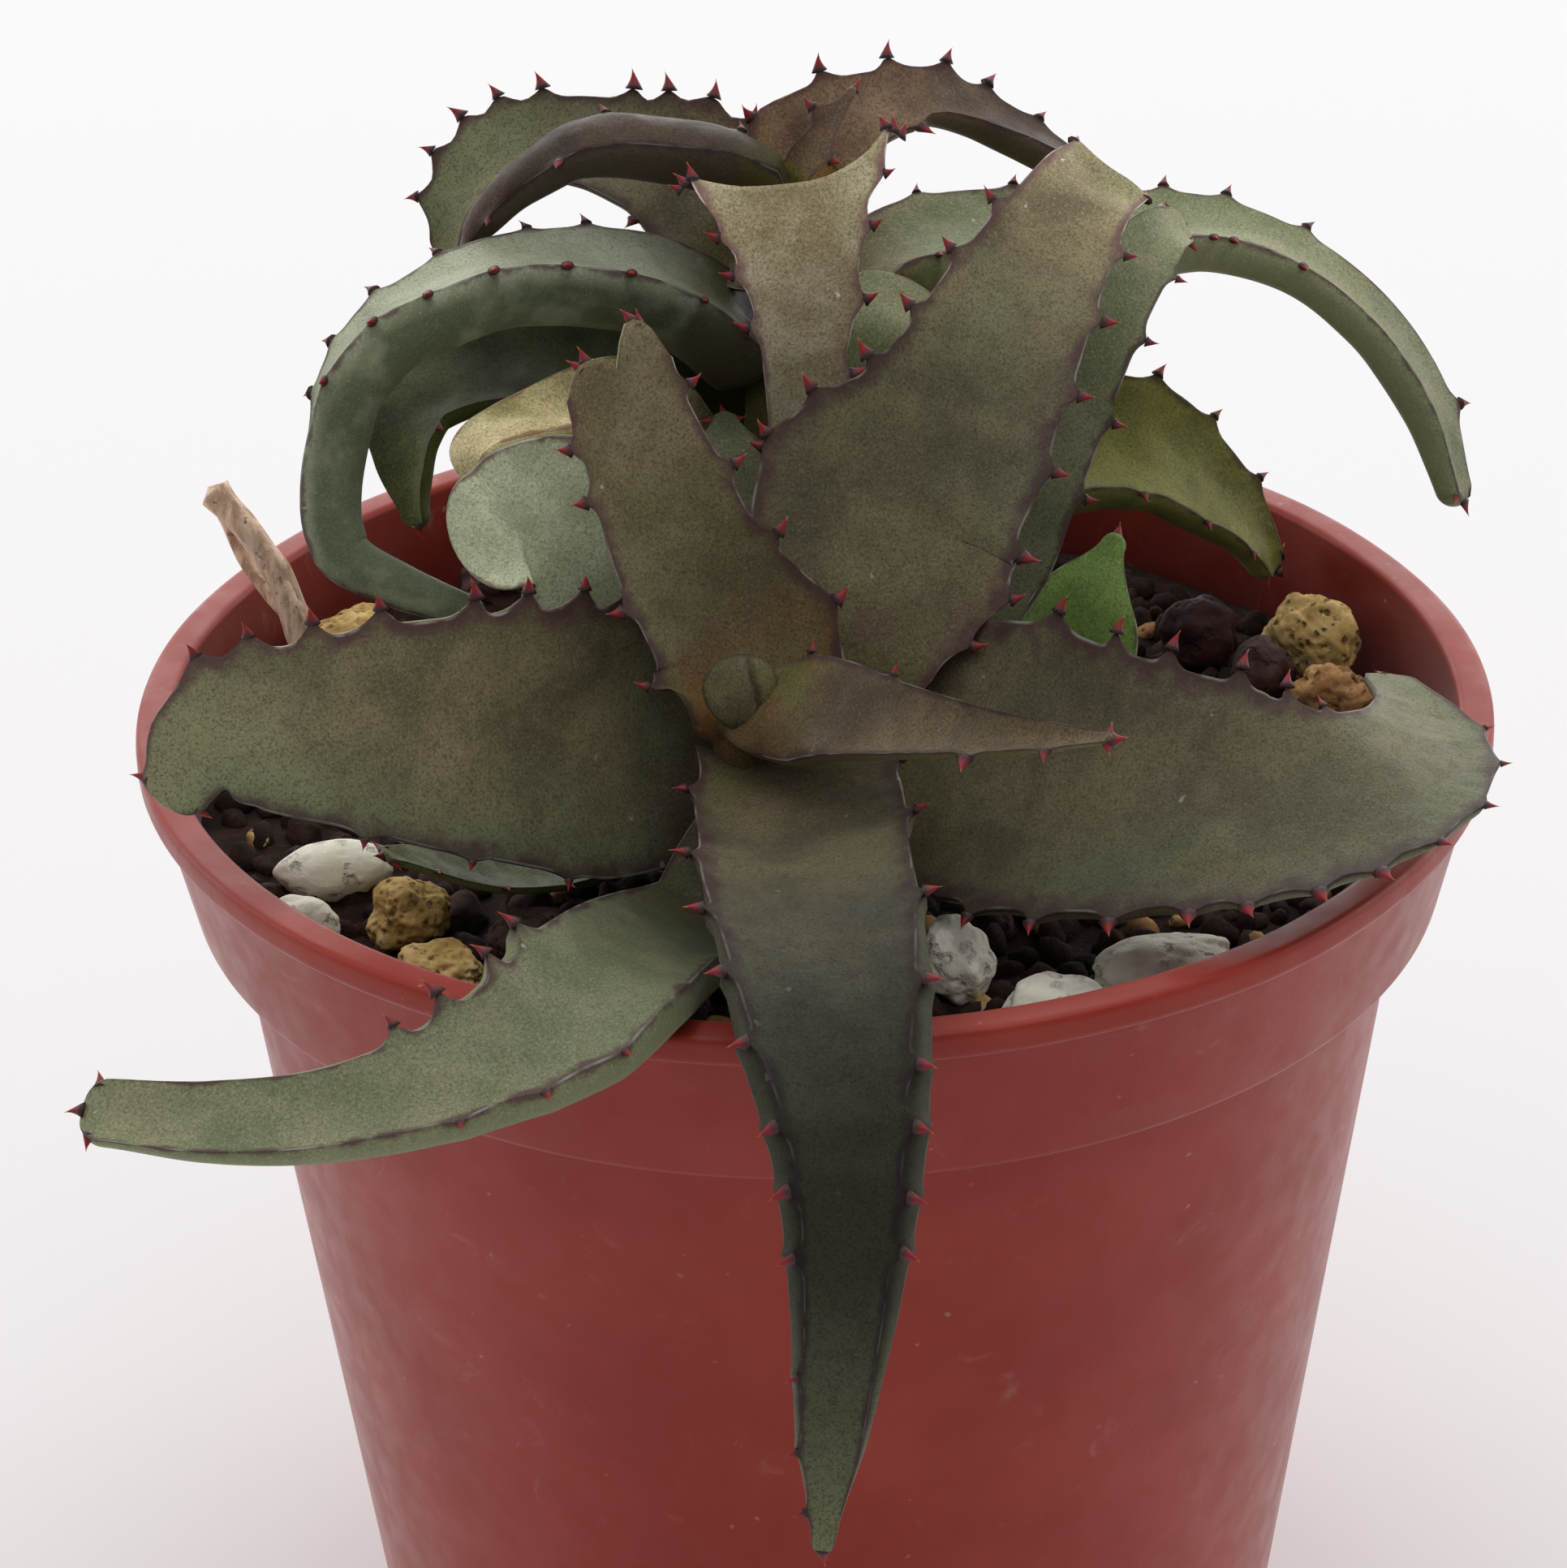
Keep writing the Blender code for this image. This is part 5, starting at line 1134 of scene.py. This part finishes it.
def teeth_tree():
    """A tree of nodes that stands a curved spine on every given place."""
    n = Strewn("Leaf spines", {"Height": 0.0014, "Base": 0.0005, "Curve": 0.22, "Flatness": 0.7})
    entry = n.entry
    cone = n.geometry("MeshCone", {"Vertices": 8, "Side Segments": 5, "Radius Top": 0.0,
                                   "Radius Bottom": entry["Base"], "Depth": entry["Height"]})
    split = n.add("ShaderNodeSeparateXYZ", {0: n.geometry("InputPosition", {})}).outputs
    share = n.maths("DIVIDE", split["Z"], entry["Height"])
    waist = n.maths("POWER", n.maths("MAXIMUM", n.maths("SUBTRACT", 1.0, share), 0.0001), 0.45)
    x, y = n.times(split["X"], waist), n.times(n.times(split["Y"], waist), entry["Flatness"])
    bend = n.times(n.times(n.times(share, share), entry["Curve"]), entry["Height"])
    moved = n.add("ShaderNodeCombineXYZ", {"X": n.plus(x, bend), "Y": y, "Z": split["Z"]}).outputs[0]
    kept = n.geometry("StoreNamedAttribute", {"Geometry": cone, "Name": "tip", "Value": share},
                      data_type="FLOAT", domain="POINT")
    spine = n.geometry("SetPosition", {"Geometry": kept, "Position": moved})
    points = n.geometry("MeshToPoints", {"Mesh": entry["Geometry"]})
    turn = n.geometry("InputNamedAttribute", {"Name": "turn"}, data_type="FLOAT_VECTOR")
    size = n.geometry("InputNamedAttribute", {"Name": "size"}, data_type="FLOAT")
    return n.lay(points, spine, turn, size)


def make_teeth(name, seeds, sizes):
    """All the spines of one head, grown from their places."""
    mesh = bpy.data.meshes.new(name + "_places")
    mesh.from_pydata([(r.x * MM, r.y * MM, (r.z + RIM) * MM) for r, _, _, _ in seeds], [], [])
    turns = []
    for _, out, t, _ in seeds:
        x = (t - out * t.dot(out)).normalized()
        turns += Matrix((x, out.cross(x), out)).transposed().to_euler()[:]
    mesh.attributes.new("turn", "FLOAT_VECTOR", "POINT").data.foreach_set("vector", turns)
    store(mesh, "size", [s for _, _, _, s in seeds])
    base = linked(name + "_places", mesh)
    tree = bpy.data.node_groups.get("Leaf spines") or teeth_tree()
    values = {"Height": sizes.tooth_height, "Base": sizes.tooth_base, "Curve": 0.22, "Flatness": 0.7,
              "Finish": finishes()["tooth_red"]}
    piece = grow(base, tree, values, name)
    bpy.data.objects.remove(base, do_unlink=True)
    finish_piece(piece, "leaf_brown")


def studio_world():
    """A white tent, brightest behind the plant; what the camera sees of it is plain and pale."""
    world = bpy.data.worlds.new("studio")
    world.use_nodes = True
    n = Nodes(world.node_tree)
    way = n.add("ShaderNodeTexCoord").outputs["Generated"]
    rear = n.add("ShaderNodeSeparateXYZ", {0: way}).outputs["Y"]
    glow = n.span(rear, -0.75, 0.9, 0.8, 0.31)
    seen = n.add("ShaderNodeLightPath").outputs["Is Camera Ray"]
    paint = n.tree.nodes["Background"].inputs
    n.put(paint["Strength"], n.add("ShaderNodeMix", {0: seen, 2: glow, 3: 0.94}).outputs[0])
    n.put(paint["Color"], (1.0, 0.995, 0.99))
    return world


def make_camera():
    """The photo's camera, found from the ellipses of the pot: its place, its aim and its lens."""
    distance, rise, roll = 306.637, math.radians(27.314), math.radians(0.961)
    focal, off_x, off_y, pixels, sensor = 6000.0, 39.717, 116.634, 1931.0, 36.0
    back = Vector((0, -math.cos(rise), math.sin(rise)))
    right = Vector((1, 0, 0))
    level = Matrix((right, back.cross(right), back))
    across = Matrix.Rotation(-math.atan2(off_x, focal), 3, "Y")
    over = Matrix.Rotation(math.atan2(off_y, focal), 3, "X")
    turn = (Matrix.Rotation(roll, 3, "Z") @ over @ across @ level).transposed().to_4x4()
    turn.translation = back * (distance * MM) + Vector((0, 0, POT_TOP))
    lens = bpy.data.cameras.new("camera")
    lens.sensor_width = sensor
    lens.lens = focal / pixels * sensor
    lens.clip_start = 0.01
    camera = linked("camera", lens)
    camera.matrix_world = turn
    return camera


def make_stage():
    """A pale floor, soft lights above, behind and at both sides, and the camera."""
    scene = bpy.context.scene
    mesh = bpy.data.meshes.new("floor")
    mesh.from_pydata([(-3, -3, 0), (3, -3, 0), (3, 3, 0), (-3, 3, 0)], [], [(0, 1, 2, 3)])
    mesh.materials.append(finishes()["floor_pale"])
    floor = linked("floor", mesh)
    scene.world = studio_world()
    # Lamp, its place and width in metres, and its power in watts
    for name, place, size, power in (
        ("top", (0.0, -0.15, 0.85), 0.8, 2.4),
        ("back", (0.0, 0.95, 0.5), 1.2, 6.5),
        ("left", (-0.8, 0.35, 0.35), 0.6, 1.8),
        ("right", (0.8, 0.3, 0.35), 0.6, 2.0),
    ):
        lamp = bpy.data.lights.new(name, "AREA")
        lamp.shape = "SQUARE"
        lamp.size = size
        lamp.energy = power
        light = linked(name, lamp)
        light.location = place
        light.rotation_mode = "QUATERNION"
        light.rotation_quaternion = (Vector((0, 0, 0.07)) - Vector(place)).to_track_quat("-Z", "Y")
    scene.camera = make_camera()
    scene.view_settings.view_transform = "Standard"


class AloePot(bpy.types.Operator):
    """Turn the plastic pot from its profile"""

    bl_idname = "aloe.pot"
    bl_label = "Pot"

    def execute(self, context):
        make_pot(context.scene.aloe_sizes)
        return {"FINISHED"}


class AloeSoil(bpy.types.Operator):
    """Fill the pot with peat, crumbs and grit"""

    bl_idname = "aloe.soil"
    bl_label = "Soil"

    def execute(self, context):
        make_soil(context.scene.aloe_sizes)
        return {"FINISHED"}


class AloeStones(bpy.types.Operator):
    """Lay the larger stones on the soil"""

    bl_idname = "aloe.stones"
    bl_label = "Stones"

    def execute(self, context):
        for seed, row in enumerate(STONES, 1):
            make_stone(seed, *row)
        return {"FINISHED"}


class AloeStalk(bpy.types.Operator):
    """Stand the dry flower stalk in the soil"""

    bl_idname = "aloe.stalk"
    bl_label = "Dry stalk"

    def execute(self, context):
        make_stalk()
        return {"FINISHED"}


class AloeStem(bpy.types.Operator):
    """Grow the stem that carries both heads"""

    bl_idname = "aloe.stem"
    bl_label = "Stem"

    def execute(self, context):
        make_stem()
        return {"FINISHED"}


class AloeFrontHead(bpy.types.Operator):
    """Grow the front head's leaves, its bud and their teeth"""

    bl_idname = "aloe.front_head"
    bl_label = "Front head"

    def execute(self, context):
        seeds = []
        for spec in FRONT_HEAD:
            make_leaf(spec, context.scene.aloe_sizes, seeds)
        make_bud()
        make_teeth("teeth_front_head", seeds, context.scene.aloe_sizes)
        return {"FINISHED"}


class AloeRearHead(bpy.types.Operator):
    """Grow the rear head's leaves and their teeth"""

    bl_idname = "aloe.rear_head"
    bl_label = "Rear head"

    def execute(self, context):
        seeds = []
        for spec in REAR_HEAD:
            make_leaf(spec, context.scene.aloe_sizes, seeds)
        make_teeth("teeth_rear_head", seeds, context.scene.aloe_sizes)
        return {"FINISHED"}


class AloeStage(bpy.types.Operator):
    """Set the floor, the lights and the camera"""

    bl_idname = "aloe.stage"
    bl_label = "Stage"

    def execute(self, context):
        make_stage()
        return {"FINISHED"}


OPERATORS = (AloePot, AloeSoil, AloeStones, AloeStalk, AloeStem, AloeFrontHead, AloeRearHead, AloeStage)


class AloePanel(bpy.types.Panel):
    """Lists the sizes, the colours and the pieces"""

    bl_idname = "VIEW3D_PT_aloe"
    bl_label = "Potted aloe"
    bl_space_type = "VIEW_3D"
    bl_region_type = "UI"
    bl_category = "Aloe"

    def draw(self, context):
        for group in (context.scene.aloe_sizes, context.scene.aloe_colours):
            box = self.layout.box()
            for key in group.__annotations__:
                box.prop(group, key)
        for one in OPERATORS:
            self.layout.operator(one.bl_idname)


CLASSES = (AloeSizes, AloeColours, *OPERATORS, AloePanel)


def register():
    for one in CLASSES:
        bpy.utils.register_class(one)
    bpy.types.Scene.aloe_sizes = bpy.props.PointerProperty(type=AloeSizes)
    bpy.types.Scene.aloe_colours = bpy.props.PointerProperty(type=AloeColours)


def unregister():
    del bpy.types.Scene.aloe_colours
    del bpy.types.Scene.aloe_sizes
    for one in reversed(CLASSES):
        bpy.utils.unregister_class(one)


def main():
    register()
    bpy.ops.aloe.stage()
    bpy.ops.aloe.pot()
    bpy.ops.aloe.soil()
    bpy.ops.aloe.stones()
    bpy.ops.aloe.stalk()
    bpy.ops.aloe.stem()
    bpy.ops.aloe.front_head()
    bpy.ops.aloe.rear_head()


if __name__ == "__main__":
    main()
